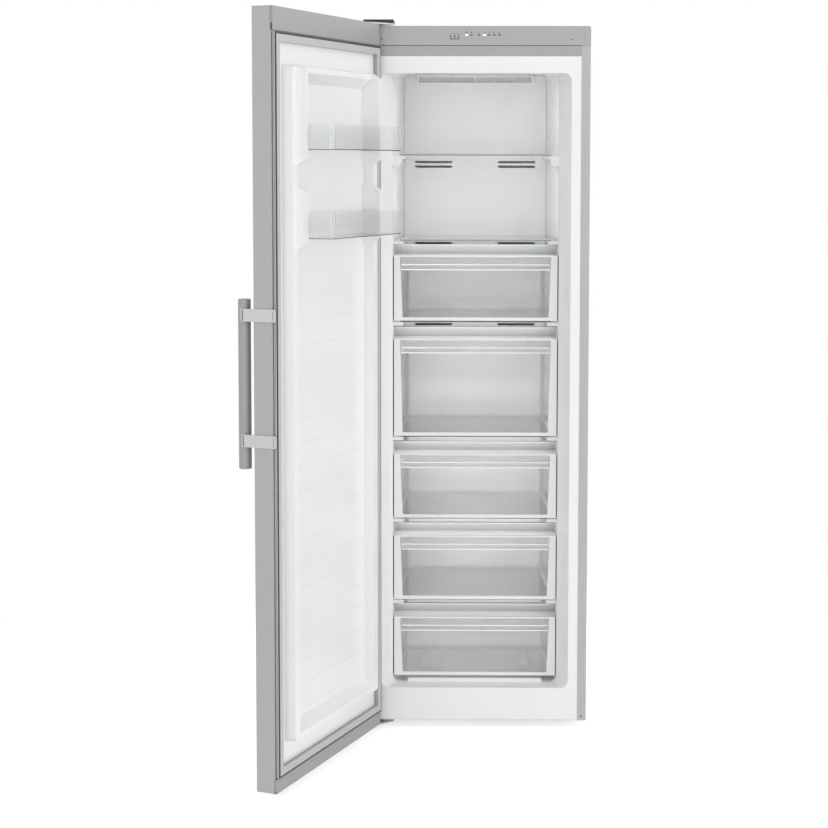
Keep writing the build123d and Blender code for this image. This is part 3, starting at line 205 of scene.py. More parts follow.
@dataclass(frozen=True)
class Finish:
    """A surface: what it is made of, and how it was worked. Its lengths are in millimetres."""

    name: str
    colour: str
    roughness: float
    mottle: float = 0.02            # share by which its darker patches lose colour
    mottle_size: float = 160.0      # from patch to patch
    mark_size: float = 2.0          # from one fine mark to the next
    mark_depth: float = 0.01
    run: Run = Run.EVEN
    rough_spread: float = 0.06      # from the glossiest mark to the dullest

    def begin(self) -> tuple[Material, Tree, Node]:
        """Start the material with an empty tree and its shader.

        Returns:
            The material, its tree and its main shader node.
        """
        material = bpy.data.materials.new(self.name)
        material.use_nodes = True
        tree = material.node_tree
        tree.nodes.clear()
        patches = noise(tree, self.mottle_size)
        marks = noise(tree, self.mark_size, self.run)
        rough = between(tree, marks, self.roughness - self.rough_spread / 2,
                        self.roughness + self.rough_spread / 2)
        shader = add_node(tree, "ShaderNodeBsdfPrincipled", links={
            "Base Color": tinted(tree, patches, self.colour, self.mottle),
            "Roughness": rough, "Normal": relief(tree, marks, self.mark_depth)})
        return material, tree, shader

    def adjust(self, tree: Tree, shader: Node) -> Socket:
        """Set what this kind of surface has beyond the rest; the plain kind has nothing.

        Args:
            tree: the material's node tree.
            shader: its main shader node.

        Returns:
            The surface for the material's output.
        """
        return shader.outputs["BSDF"]

    def make(self) -> Material:
        """Build the material, unless it is there already.

        Returns:
            The material.
        """
        if self.name in bpy.data.materials:
            return bpy.data.materials[self.name]
        material, tree, shader = self.begin()
        surface = self.adjust(tree, shader)
        add_node(tree, "ShaderNodeOutputMaterial", links={"Surface": surface})
        material.diffuse_color = linear(self.colour)
        return material


@dataclass(frozen=True)
class Enamel(Finish):
    """Stoved paint on steel sheet: a clear-coated skin with a faint orange peel."""

    mark_size: float = 2.6
    mark_depth: float = 0.006
    coat: float = 0.25
    coat_roughness: float = 0.2

    def adjust(self, tree: Tree, shader: Node) -> Socket:
        """Add the paint's own clear top."""
        return set_sockets(shader, {"Coat Weight": self.coat,
                                    "Coat Roughness": self.coat_roughness})


@dataclass(frozen=True)
class Plastic(Finish):
    """Moulded or vacuum-formed plastic: light goes a little way into it."""

    depth: float = 0.0              # share of the light that goes in
    reach: float = 1.5              # how far it travels
    reach_by_colour: Point = (1.0, 0.95, 0.9)       # red goes furthest
    ior: float = 1.5

    def adjust(self, tree: Tree, shader: Node) -> Socket:
        """Let light into the plastic."""
        return set_sockets(shader, {
            "IOR": self.ior, "Subsurface Weight": self.depth,
            "Subsurface Radius": self.reach_by_colour, "Subsurface Scale": self.reach * MM})


@dataclass(frozen=True)
class Clear(Finish):
    """Glass or see-through plastic; it lets lamps through, dimmed by its tint."""

    mottle: float = 0.01
    ior: float = 1.57               # polystyrene's
    through: float = 1.0            # share of the light that passes
    shade: str = "#e6e8ea"          # what is left of a lamp's light behind one face

    def adjust(self, tree: Tree, shader: Node) -> Socket:
        """Make the surface see-through, also for the lamps.

        Args:
            tree: the material's node tree.
            shader: its main shader node.

        Returns:
            The surface for the material's output.
        """
        surface = set_sockets(shader, {"Transmission Weight": self.through, "IOR": self.ior})
        path = add_node(tree, "ShaderNodeLightPath")
        plain = add_node(tree, "ShaderNodeBsdfTransparent", {"Color": linear(self.shade)})
        return add_node(tree, "ShaderNodeMixShader", links={
            0: path.outputs["Is Shadow Ray"], 1: surface,
            2: plain.outputs["BSDF"]}).outputs["Shader"]


@dataclass(frozen=True)
class Frosted(Clear):
    """Frosted plastic whose grip, between two levels, is coloured a greyer tint than the rest."""

    grip: str = "#c6c7c9"
    grip_span: Pair = (0.0, 0.0)    # its lowest and highest level

    def adjust(self, tree: Tree, shader: Node) -> Socket:
        """Tint the grip and keep the rest white.

        Args:
            tree: the material's node tree.
            shader: its main shader node.

        Returns:
            The surface for the material's output.
        """
        surface = super().adjust(tree, shader)
        place = add_node(tree, "ShaderNodeTexCoord")
        level = add_node(tree, "ShaderNodeSeparateXYZ", links={0: place.outputs["Object"]})
        above, below = (
            add_node(tree, "ShaderNodeMath", {1: limit * MM}, {0: level.outputs["Z"]},
                     operation=side).outputs["Value"]
            for limit, side in zip(self.grip_span, ("GREATER_THAN", "LESS_THAN")))
        inside = add_node(tree, "ShaderNodeMath", links={0: above, 1: below},
                          operation="MULTIPLY")
        plain = shader.inputs["Base Color"].links[0].from_socket
        mix = add_node(tree, "ShaderNodeMix", {7: linear(self.grip)},
                       {0: inside.outputs[0], 6: plain}, data_type="RGBA")
        tree.links.new(mix.outputs[2], shader.inputs["Base Color"])
        return surface


@dataclass(frozen=True)
class Metal(Finish):
    """Metal: rolled, drawn, brushed or cast."""

    mark_depth: float = 0.004
    metallic: float = 1.0           # less under a lacquer, an oxide or a matt plating

    def adjust(self, tree: Tree, shader: Node) -> Socket:
        """Make the surface metallic."""
        return set_sockets(shader, {"Metallic": self.metallic})


@dataclass(frozen=True)
class Prism(Metal):
    """Polished ribs of clear plastic: they turn the light back as a mirror does."""


@dataclass(frozen=True)
class Rubber(Finish):
    """Soft PVC or rubber: dull, with a soft sheen at grazing angles."""

    mark_depth: float = 0.02
    sheen: float = 0.15
    sheen_roughness: float = 0.5

    def adjust(self, tree: Tree, shader: Node) -> Socket:
        """Add the dusty sheen that soft plastic has."""
        return set_sockets(shader, {"Sheen Weight": self.sheen,
                                    "Sheen Roughness": self.sheen_roughness})


@dataclass(frozen=True)
class Foam(Finish):
    """Rigid foam that rose in place: cut cells, pale and quite dull."""

    cell: float = 1.6               # real cells are finer; drawn coarse enough to show
    cell_depth: float = 0.3

    def adjust(self, tree: Tree, shader: Node) -> Socket:
        """Lay the foam's cells over its surface.

        Args:
            tree: the material's node tree.
            shader: its main shader node.

        Returns:
            The surface for the material's output.
        """
        place = add_node(tree, "ShaderNodeTexCoord")
        cells = add_node(tree, "ShaderNodeTexVoronoi", {"Scale": 1 / (self.cell * MM)},
                         {"Vector": place.outputs["Object"]}, feature="DISTANCE_TO_EDGE")
        tree.links.new(relief(tree, cells.outputs["Distance"], self.cell_depth),
                       shader.inputs["Normal"])
        return shader.outputs["BSDF"]


@dataclass(frozen=True)
class Board(Finish):
    """Glass-fibre circuit board: solder mask over copper tracks."""

    track: float = 1.4              # from track to track
    tracks_per_brick: int = 4
    gap: float = 0.06               # the tracks' share of a brick
    mask: str = "#1d5a37"
    copper: str = "#5b8a52"         # copper seen through the mask

    def adjust(self, tree: Tree, shader: Node) -> Socket:
        """Draw the tracks that show through the solder mask.

        Args:
            tree: the material's node tree.
            shader: its main shader node.

        Returns:
            The surface for the material's output.
        """
        place = add_node(tree, "ShaderNodeTexCoord")
        tracks = add_node(tree, "ShaderNodeTexBrick",
                          {"Scale": 1 / (self.track * MM) / self.tracks_per_brick,
                           "Mortar Size": self.gap, "Color1": linear(self.colour),
                           "Color2": linear(self.mask), "Mortar": linear(self.copper)},
                          {"Vector": place.outputs["Object"]})
        tree.links.new(tracks.outputs["Color"], shader.inputs["Base Color"])
        return shader.outputs["BSDF"]


@dataclass(frozen=True)
class Lit(Finish):
    """A light guide over an indicator that is on."""

    glow: float = 1.0

    def adjust(self, tree: Tree, shader: Node) -> Socket:
        """Let the guide glow."""
        return set_sockets(shader, {"Emission Color": linear(self.colour),
                                    "Emission Strength": self.glow})


# Silver enamel, sprayed on steel sheet and stoved: even and half-gloss, with a fine orange peel.
SILVER_ENAMEL = Enamel("silver_enamel_sprayed", "#b6b7b7", 0.36)
# The rail under the control panel, sprayed a shade darker.
RAIL_ENAMEL = Enamel("rail_enamel_sprayed", "#a6a7a7", 0.36)
# The door's pan, the same enamel in a slightly warmer grey.
DOOR_ENAMEL = Enamel("door_enamel_sprayed", "#b0b0b0", 0.36)
# Silver-painted ABS, moulded: the panel's paint hides the plastic and is a little duller.
PAINTED_ABS = Plastic("silver_painted_abs", "#adaeae", 0.34, mark_size=1.2, mark_depth=0.006)
# Grey ABS, moulded with a spark-eroded grain, which makes it matt.
GREY_ABS = Plastic("grey_abs_moulded", "#9fa0a1", 0.48, mark_size=1.0, mark_depth=0.02)
# White high-impact polystyrene, vacuum-formed: glossy, a touch wavy where it was drawn deep.
FORMED_STYRENE = Plastic("white_styrene_vacuum_formed", "#f3f3f2", 0.24, mottle=0.012,
                         mottle_size=220.0, mark_size=14.0, mark_depth=0.02)
# White polystyrene, injection-moulded: flatter and a little duller than the formed sheet.
MOULDED_STYRENE = Plastic("white_styrene_moulded", "#ececec", 0.32, mottle=0.012,
                          mark_size=1.2)
# Translucent polystyrene of the shelves' front trims, moulded: it takes the glass's grey.
TRIM_STYRENE = Clear("translucent_styrene_moulded", "#dfe1e3", 0.3, mark_size=1.2,
                     mark_depth=0.006, rough_spread=0.04, through=0.45, shade="#e4e5e6")
# Light grey polystyrene of the air grille, moulded.
GRILLE_STYRENE = Plastic("grey_styrene_moulded", "#f6f6f7", 0.38, mark_size=1.2)
# Clear polystyrene, moulded: bright edges and faint flow lines from the gate.
CLEAR_STYRENE = Clear("clear_styrene_moulded", "#fcfdfd", 0.06, mark_size=24.0,
                      mark_depth=0.03, rough_spread=0.03, shade="#fafbfb")
# The drawers' tubs: clear polystyrene with a faint smoky tint.
TUB_STYRENE = Clear("smoky_clear_styrene", "#fbfbfc", 0.1, mark_size=24.0, mark_depth=0.03,
                    rough_spread=0.04, shade="#fafafb")
# The drawers' fronts: styrene with a white filler, frosted by an etched mould.
FROSTED_STYRENE = Frosted("frosted_styrene_etched", "#f8f8f8", 0.42, mark_size=0.9,
                          mark_depth=0.02, through=0.12, shade="#d6d7d8")
# The ribs across a drawer's window, left polished: they throw the light back like a prism.
RIB_STYRENE = Prism("rib_styrene_polished", "#f6f6f7", 0.3, mottle=0.01, mark_size=1.2,
                    mark_depth=0.002, rough_spread=0.04, metallic=0.85)
# The upper part of a drawer's window, lightly frosted.
BAND_STYRENE = Clear("band_styrene_light_frost", "#ffffff", 0.5, mark_size=0.9,
                     mark_depth=0.004, rough_spread=0.04, through=0.9, shade="#f2f2f3")
# The skirts behind a drawer's front: the same styrene with more white filler.
SKIRT_STYRENE = Plastic("skirt_styrene_moulded", "#dcdddd", 0.45, mottle=0.01, mark_size=0.9,
                        mark_depth=0.02)
# Toughened float glass: flat, clear, faintly green.
FLOAT_GLASS = Clear("float_glass_toughened", "#fafdfb", 0.02, mottle=0.005, mark_size=60.0,
                    mark_depth=0.004, rough_spread=0.01, ior=1.52, shade="#f8fbf9")
# The ground front edge of that glass, which is dull and darker than its faces.
GROUND_GLASS = Plastic("float_glass_ground_edge", "#8f9594", 0.5, mark_size=0.6,
                       mark_depth=0.004)
# Clear light guide of acrylic, unlit: dark, because the panel's inside shows through it.
ACRYLIC_UNLIT = Plastic("acrylic_guide_unlit", "#3a3c3e", 0.2, mark_size=0.8, mark_depth=0.004)
# The same guide with its lamp on.
ACRYLIC_LIT = Lit("acrylic_guide_lit", "#ffffff", 0.3, mark_size=0.8, mark_depth=0.004,
                  glow=0.9)
# Pad-printed ink: matt and nearly black; the same black also stands as painted shade for the
# panel's slots and the button's gap.
INK_AND_SHADE = Plastic("pad_printed_ink_and_painted_shade", "#2c2d2f", 0.6, mark_size=0.5, mark_depth=0.002)
# Soft PVC, extruded: dull light grey, with faint lines along the profile.
SOFT_PVC = Rubber("soft_pvc_extruded", "#bdbebf", 0.55, mottle=0.03, mark_size=1.6)
# Nearly black soft PVC: painted shade along the fold of the seal's lip.
FOLD_SHADE_PVC = Rubber("pvc_fold_painted_shade", "#1e1f20", 0.6, mottle=0.03, mark_size=1.6)
# Aluminium tube, brushed along its length and clear-anodised, which takes off its mirror gloss.
BRUSHED_ALUMINIUM = Metal("aluminium_brushed_anodised", "#a0a1a1", 0.5, mark_size=0.7,
                          run=Run.ALONG_Z, metallic=0.4)
# Zinc die-casting, satin-plated.
SATIN_ZINC = Metal("zinc_cast_satin", "#c6c7c7", 0.42, mark_size=1.0, metallic=0.85)
# The same casting's colour darkened: painted shade, laid on the brackets where their grooves are.
GROOVE_SHADE_ZINC = Metal("zinc_groove_painted_shade", "#6c6d6e", 0.6, mark_size=1.0, metallic=0.3)
# Steel sheet, galvanised: a cool grey with soft spangles.
GALVANISED_STEEL = Metal("steel_galvanised", "#b9bcbf", 0.42, mottle=0.12, mottle_size=14.0,
                         mark_size=1.4, mark_depth=0.006, rough_spread=0.14)
# Steel plate, pressed and zinc-plated: brighter and plainer.
PLATED_STEEL = Metal("steel_pressed_plated", "#b3b4b5", 0.35, mottle=0.05, mark_size=1.0,
                     mark_depth=0.006)
# Steel screws, rolled and nickel-plated, coloured darker than the plate: painted shade for their
# recesses.
SHADED_SCREW_STEEL = Metal("steel_screw_nickel_shaded", "#626365", 0.4, mottle=0.04, mark_size=0.6,
                    metallic=0.6)
# Copper tube, drawn: warm, with brown patches where it was brazed.
DRAWN_COPPER = Metal("copper_tube_drawn", "#c98d6a", 0.36, mottle=0.28, mottle_size=24.0,
                     mark_size=0.8)
# Aluminium fin stock, rolled: bright and thin.
ROLLED_ALUMINIUM = Metal("aluminium_fins_rolled", "#c9cbcc", 0.36, mottle=0.05,
                         mark_size=0.8, run=Run.ALONG_Z)
# Black enamel, dipped over a pressed steel shell: glossy, with slow waves.
BLACK_ENAMEL = Enamel("black_enamel_dipped", "#1b1c1d", 0.28, mottle=0.1, mark_size=6.0,
                      mark_depth=0.03, coat=0.5)
# Black ABS, moulded: matt and finely grained; the same black also stands as painted shade in the
# gaps beside the drawers.
DARK_ABS_AND_SHADE = Plastic("dark_abs_and_painted_shade", "#2b2c2e", 0.5, mottle=0.05, mark_size=0.9,
                   mark_depth=0.02)
# Rubber, moulded and dusted with talc.
MOULDED_RUBBER = Rubber("rubber_moulded", "#1f1f20", 0.75, mottle=0.1, mark_size=0.9)
# Rigid polyurethane foam, risen in place.
RIGID_FOAM = Foam("polyurethane_foam_rigid", "#e3d7a8", 0.9, mottle=0.08, mottle_size=40.0)
# Glass-fibre board, etched and masked.
CIRCUIT_BOARD = Board("circuit_board_masked", "#164a2d", 0.35)
# White polypropylene, moulded: waxy and soft-looking.
WAXY_POLYPROPYLENE = Plastic("polypropylene_moulded", "#e4e4e0", 0.42, mark_size=1.4,
                             mark_depth=0.015, depth=0.15)


# ---- making pieces


def flat_solid(name: str, outlines: list[Outline], front: float, back: float) -> Piece:
    """Thin closed plates that face the front.

    Args:
        name: the piece's name.
        outlines: each plate's corners.
        front: the y of their outer face, in millimetres.
        back: the y of their inner face.

    Returns:
        One object with all the plates.
    """
    mesh = bmesh.new()
    for outline in outlines:
        near = [mesh.verts.new((x * MM, front * MM, z * MM)) for x, z in outline]
        far = [mesh.verts.new((x * MM, back * MM, z * MM)) for x, z in outline]
        mesh.faces.new(near)
        mesh.faces.new(list(reversed(far)))
        for i in range(len(outline)):
            j = (i + 1) % len(outline)
            mesh.faces.new((near[j], near[i], far[i], far[j]))
    bmesh.ops.recalc_face_normals(mesh, faces=mesh.faces)
    return finished(name, mesh)


def finished(name: str, mesh: bmesh.types.BMesh) -> Piece:
    """Turn working geometry into an object of the scene.

    Args:
        name: the object's name.
        mesh: the working geometry, which is freed.

    Returns:
        The object.
    """
    data = bpy.data.meshes.new(name)
    mesh.to_mesh(data)
    mesh.free()
    piece = bpy.data.objects.new(name, data)
    bpy.context.scene.collection.objects.link(piece)
    return piece


def bar(x: float, z: float, width: float, height: float, cut: float = 0.0) -> Outline:
    """A rectangle round a point.

    Args:
        x, z: the point.
        width, height: the rectangle's size.
        cut: how much its corners are cut back.

    Returns:
        The outline.
    """
    a, b = width / 2, height / 2
    if not cut:
        return [(x - a, z - b), (x + a, z - b), (x + a, z + b), (x - a, z + b)]
    return [(x - a + cut, z - b), (x + a - cut, z - b), (x + a, z - b + cut),
            (x + a, z + b - cut), (x + a - cut, z + b), (x - a + cut, z + b),
            (x - a, z + b - cut), (x - a, z - b + cut)]


def arc(x: float, z: float, radius: float, width: float, start: float, end: float,
        steps: int = 12) -> Outline:
    """A curved stroke.

    Args:
        x, z: the centre that it bends round.
        radius: of its middle line.
        width: the stroke's width.
        start, end: the angles that it runs between, in degrees.
        steps: how many straight runs it is made of.

    Returns:
        The outline.
    """
    outer, inner = [], []
    for i in range(steps + 1):
        angle = math.radians(start + (end - start) * i / steps)
        for side, reach in ((outer, radius + width / 2), (inner, radius - width / 2)):
            side.append((x + reach * math.cos(angle), z + reach * math.sin(angle)))
    return outer + inner[::-1]


def stroke(start: Pair, end: Pair, width: float) -> Outline:
    """A straight stroke.

    Args:
        start, end: the middle of its two ends.
        width: the stroke's width.

    Returns:
        The outline.
    """
    dx, dz = end[0] - start[0], end[1] - start[1]
    length = math.hypot(dx, dz)
    nx, nz = -dz / length * width / 2, dx / length * width / 2
    return [(start[0] + nx, start[1] + nz), (start[0] - nx, start[1] - nz),
            (end[0] - nx, end[1] - nz), (end[0] + nx, end[1] + nz)]


def star(x: float, z: float, radius: float, width: float) -> list[Outline]:
    """A six-armed frost sign, as three crossed strokes.

    Args:
        x, z: its middle.
        radius: how long its arms are.
        width: how wide they are.

    Returns:
        The strokes' outlines.
    """
    arms = []
    for degrees in (30, 90, 150):
        angle = math.radians(degrees)
        dx, dz = radius * math.cos(angle), radius * math.sin(angle)
        arms.append(stroke((x - dx, z - dz), (x + dx, z + dz), width))
    return arms


@dataclass
class Assembly:
    """A group of pieces that are made and dressed together."""

    body: str = "cabinet"

    def dress(self, finish: Finish, *nodes: str) -> None:
        """Give solids of the frame a finish.

        Args:
            finish: the finish.
            nodes: the solids' names.
        """
        material = finish.make()
        for node in nodes:
            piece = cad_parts[node]
            if not piece.material_slots:
                piece.data.materials.append(material)
            for slot in piece.material_slots:
                slot.material = material
            log.info("dressed %s in %s", node, finish.name)

    def keep(self, piece: Piece, finish: Finish, slot: str, body: str | None = None) -> None:
        """Finish a new piece and let it ride.

        Args:
            piece: the new piece.
            finish: its finish.
            slot: the record's material slot; not used.
            body: the body that it moves with; this group's own if left out.
        """
        piece.data.materials.append(finish.make())
        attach(piece, body or self.body)
        log.info("made %s of %s on %s", piece.name, finish.name, body or self.body)

    def build(self) -> None:
        """Make and dress the group's pieces."""


@dataclass
class Case(Assembly):
    """The steel case: its sides, top, rear, floor and foam."""

    def build(self) -> None:
        """Dress the case."""
        self.dress(SILVER_ENAMEL, "side_panel_left", "side_panel_right", "top_cover")
        self.dress(RAIL_ENAMEL, "top_front_rail")
        self.dress(GALVANISED_STEEL, "rear_panel", "base_tray")
        self.dress(RIGID_FOAM, "insulation_foam")
        self.dress(SHADED_SCREW_STEEL, "cabinet_screws")
        self.dress(PLATED_STEEL, "top_hinge_bracket", "bottom_hinge_bracket")
        self.dress(DARK_ABS_AND_SHADE, "top_hinge_cover")


@dataclass
class ControlPanel(Assembly):
    """The panel across the top: its indicators, its button and their printed signs."""

    light_places: tuple[float, ...] = (-25.3, -13.4, 6.5, 20.5, 33.0, 46.2, 59.7)
    lit: tuple[int, ...] = (0, 3)
    light_level: float = 1836.5
    light_size: Pair = (7.0, 2.9)
    light_cut: float = 0.4
    sign_level: float = 1843.6
    sign_line: float = 0.95
    alarm_half: float = 1.8         # half the width of the alarm's triangle
    alarm_span: Pair = (-1.5, 1.7)  # its foot and tip, from the signs' level
    star_arm: float = 2.0
    cold_foot: float = 2.2          # width of a level's lower bar at no cold at all
    cold_step: float = 0.6          # each level's is that much wider
    cold_foot_size: float = 1.0
    cold_post: Pair = (1.0, 1.6)
    cold_levels: Pair = (-1.2, 0.6)  # of the lower bar and of the post on it
    button: Pair = (-56.6, 1833.0)
    button_size: Pair = (22.5, 14.3)
    button_line: float = 1.4
    gap_shade_inset: float = 0.9       # from the button's edge in to its line of painted gap shade
    gap_shade_opening: float = 3.0        # by which that painted shade stops short of its open top
    power_radius: float = 2.2
    power_arc: Pair = (120.0, 420.0)  # degrees between which the sign's ring runs
    power_tick: Pair = (1.7, 2.6)   # the tick's level over the ring, and its length
    slot_place: Pair = (246.7, 1825.2)
    slot_size: Pair = (7.0, 1.3)
    slot_cut: float = 0.3
    proud: float = 0.12             # how far a lens stands out; printing is half of that

    def build(self) -> None:
        """Dress the panel and add its lenses and signs, with dark plates of painted shade for its
        end slots and button gap.
        """
        self.dress(PAINTED_ABS, "control_fascia", "power_button")
        self.dress(ACRYLIC_UNLIT, "indicator_lights")
        self.dress(CIRCUIT_BOARD, "control_board")
        self.lenses()
        self.signs()
        self.button_marks()
        self.side_slot_shades()

    def printed(self, name: str, shapes: list[Outline], body: str | None = None,
                front: float = 0.0) -> None:
        """Print shapes on the panel or on its button.

        Args:
            name: the new piece's name.
            shapes: the outlines, printed or of painted shade.
            body: the body that carries them; the cabinet if left out.
            front: the y of the face that they are laid on, in millimetres.
        """
        self.keep(flat_solid(name, shapes, front - self.proud / 2, front + SUNK),
                  INK_AND_SHADE, "dark_plastic", body)

    def lenses(self) -> None:
        """Put a flat lens over each indicator, lit or not."""
        shapes = [bar(x, self.light_level, *self.light_size, self.light_cut)
                  for x in self.light_places]
        for state, lit, finish in (("on", True, ACRYLIC_LIT), ("off", False, ACRYLIC_UNLIT)):
            chosen = [shape for i, shape in enumerate(shapes) if (i in self.lit) == lit]
            self.keep(flat_solid(f"indicator_lenses_{state}", chosen, -self.proud, SUNK),
                      finish, "light_guide")

    def signs(self) -> None:
        """Print a plain sign over each indicator: alarm, quick freezing and five levels."""
        z, line = self.sign_level, self.sign_line
        first, second, *levels = self.light_places
        foot, tip = z + self.alarm_span[0], z + self.alarm_span[1]
        left, right = first - self.alarm_half, first + self.alarm_half
        shapes = [stroke((left, foot), (first, tip), line),
                  stroke((right, foot), (first, tip), line),
                  stroke((left, foot), (right, foot), line)]
        shapes += star(second, z, self.star_arm, line)
        low, high = self.cold_levels
        for count, x in enumerate(levels, start=1):
            shapes.append(bar(x, z + low, self.cold_foot + self.cold_step * count,
                              self.cold_foot_size))
            shapes.append(bar(x, z + high, *self.cold_post))
        self.printed("panel_signs", shapes)

    def button_marks(self) -> None:
        """Print the on-off sign on the button, and add a dark line on three sides of it: painted
        shade standing in for the gap round the button.
        """
        x, z = self.button
        line, gap = self.button_line, self.gap_shade_opening
        lift, tick = self.power_tick
        a, b = (side / 2 - self.gap_shade_inset for side in self.button_size)
        shapes = [arc(x, z, self.power_radius, line, *self.power_arc),
                  bar(x, z + lift, line, tick),
                  bar(x, z - b, 2 * a, line),
                  bar(x - a, z - gap / 2, line, 2 * b - gap),
                  bar(x + a, z - gap / 2, line, 2 * b - gap)]
        self.printed("button_sign_and_gap_shade", shapes, "power_button",
                     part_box("power_button")[0].y / MM)

    def side_slot_shades(self) -> None:
        """Add a small dark plate near each end of the panel: painted shade standing in for a
        slot.
        """
        x, z = self.slot_place
        shapes = [bar(side * x, z, *self.slot_size, self.slot_cut) for side in (-1, 1)]
        self.printed("panel_end_slot_shades", shapes)


@dataclass
class Compartment(Assembly):
    """The white lining, the air-duct cover and the glass plates over the drawers."""

    dividers: int = 4

    def build(self) -> None:
        """Dress the lining, the duct and the plates."""
        self.dress(FORMED_STYRENE, "inner_liner")
        self.dress(MOULDED_STYRENE, "air_duct_cover")
        self.dress(GRILLE_STYRENE, "return_air_grille")
        self.dress(FLOAT_GLASS, *(f"divider_shelf_{i + 1}" for i in range(self.dividers)))


@dataclass
class GlassShelf(Assembly):
    """A glass shelf with its front trim, named as the body that it is."""

    edge_height: float = 2.6
    edge_proud: float = 0.08

    def build(self) -> None:
        """Dress the shelf and show the glass's ground front edge through its trim."""
        self.dress(FLOAT_GLASS, f"{self.body}_glass")
        self.dress(TRIM_STYRENE, f"{self.body}_trim")
        trim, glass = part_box(f"{self.body}_trim"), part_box(f"{self.body}_glass")
        front = trim[0].y / MM
        level = (glass[0].z + glass[1].z) / 2 / MM
        shape = bar(0.0, level, (glass[1].x - glass[0].x) / MM, self.edge_height)
        self.keep(flat_solid(f"{self.body}_ground_edge", [shape], front - self.edge_proud,
                             front + SUNK), GROUND_GLASS, "shelf_glass")


@dataclass
class Drawer(Assembly):
    """A pull-out drawer, named as the body that it is."""

    number: int = 1
    grip_drop: float = 27.0         # from the drawer's top edge down to the grip's foot
    grip_top: float = -1.0          # the tint goes on past the top edge
    rim_drop: float = 28.0          # from the top edge down to the window's rim
    rib_drops: tuple[float, ...] = (24.5, 38.0)     # from the rim down to the window's ribs
    rib_half: float = 197.0
    rib_height: float = 2.0
    rib_front: float = 53.8
    rib_proud: float = 0.15
    band_span: Pair = (4.3, 39.0)   # from the rim down to the frosted band's two edges
    band_depths: Pair = (0.85, 1.1)  # its two faces, behind the ribs' front
    side_span: Pair = (2.0, 34.0)   # skirts and strips stop short of foot and top
    skirt_span: Pair = (54.6, 112.0)  # front and back of the side skirts
    skirt_wall: float = 1.0
    shade_strip_span: Pair = (56.5, 59.5)  # front and back of the dark strips of painted shade
    shade_strip_reach: Pair = (-0.5, 1.5)  # their inner and outer side, from the front's

    def build(self) -> None:
        """Dress the tub and the front, and add what the solids leave out."""
        self.dress(TUB_STYRENE, f"{self.body}_tub")
        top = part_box(f"{self.body}_frame")[1].z / MM
        front = replace(FROSTED_STYRENE, name=f"{FROSTED_STYRENE.name}_{self.number}",
                        grip_span=(top - self.grip_drop, top - self.grip_top))
        self.dress(front, f"{self.body}_frame")
        self.window(top - self.rim_drop)
        self.sides()

    def window(self, rim: float) -> None:
        """Polish the two ribs across the window, and frost its upper part behind them.

        Args:
            rim: the level of the window's rim, in millimetres.
        """
        ribs = [bar(0.0, rim - drop, 2 * self.rib_half, self.rib_height)
                for drop in self.rib_drops]
        self.keep(flat_solid(f"{self.body}_rib_faces", ribs, self.rib_front - self.rib_proud,
                             self.rib_front + SUNK), RIB_STYRENE, "clear_plastic")
        high, low = (rim - drop for drop in self.band_span)
        near, far = (self.rib_front + depth for depth in self.band_depths)
        band = bar(0.0, (high + low) / 2, 2 * self.rib_half, high - low)
        self.keep(flat_solid(f"{self.body}_frost_band", [band], near, far), BAND_STYRENE,
                  "clear_plastic")

    def sides(self) -> None:
        """Add the front's upright skirts, and dark strips of painted shade that fill the gap
        beside it.
        """
        skirts = self.side_bars(-self.skirt_wall, self.skirt_wall)
        self.keep(flat_solid(f"{self.body}_skirts", skirts, *self.skirt_span), SKIRT_STYRENE,
                  "frosted_plastic")
        inner, outer = self.shade_strip_reach
        strips = self.side_bars((inner + outer) / 2, outer - inner)
        self.keep(flat_solid(f"{self.body}_shade_strips", strips, *self.shade_strip_span), DARK_ABS_AND_SHADE,
                  "dark_plastic")

    def side_bars(self, outwards: float, width: float) -> list[Outline]:
        """Two upright bars, one at each end of the front.

        Args:
            outwards: from the front's end out to the bar's middle, in millimetres.
            width: the bar's width.

        Returns:
            The bars' outlines.
        """
        low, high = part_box(f"{self.body}_frame")
        foot, head = self.side_span
        height = (high.z - low.z) / MM - foot - head
        middle = low.z / MM + foot + height / 2
        return [bar(x, middle, width, height)
                for x in (low.x / MM - outwards, high.x / MM + outwards)]


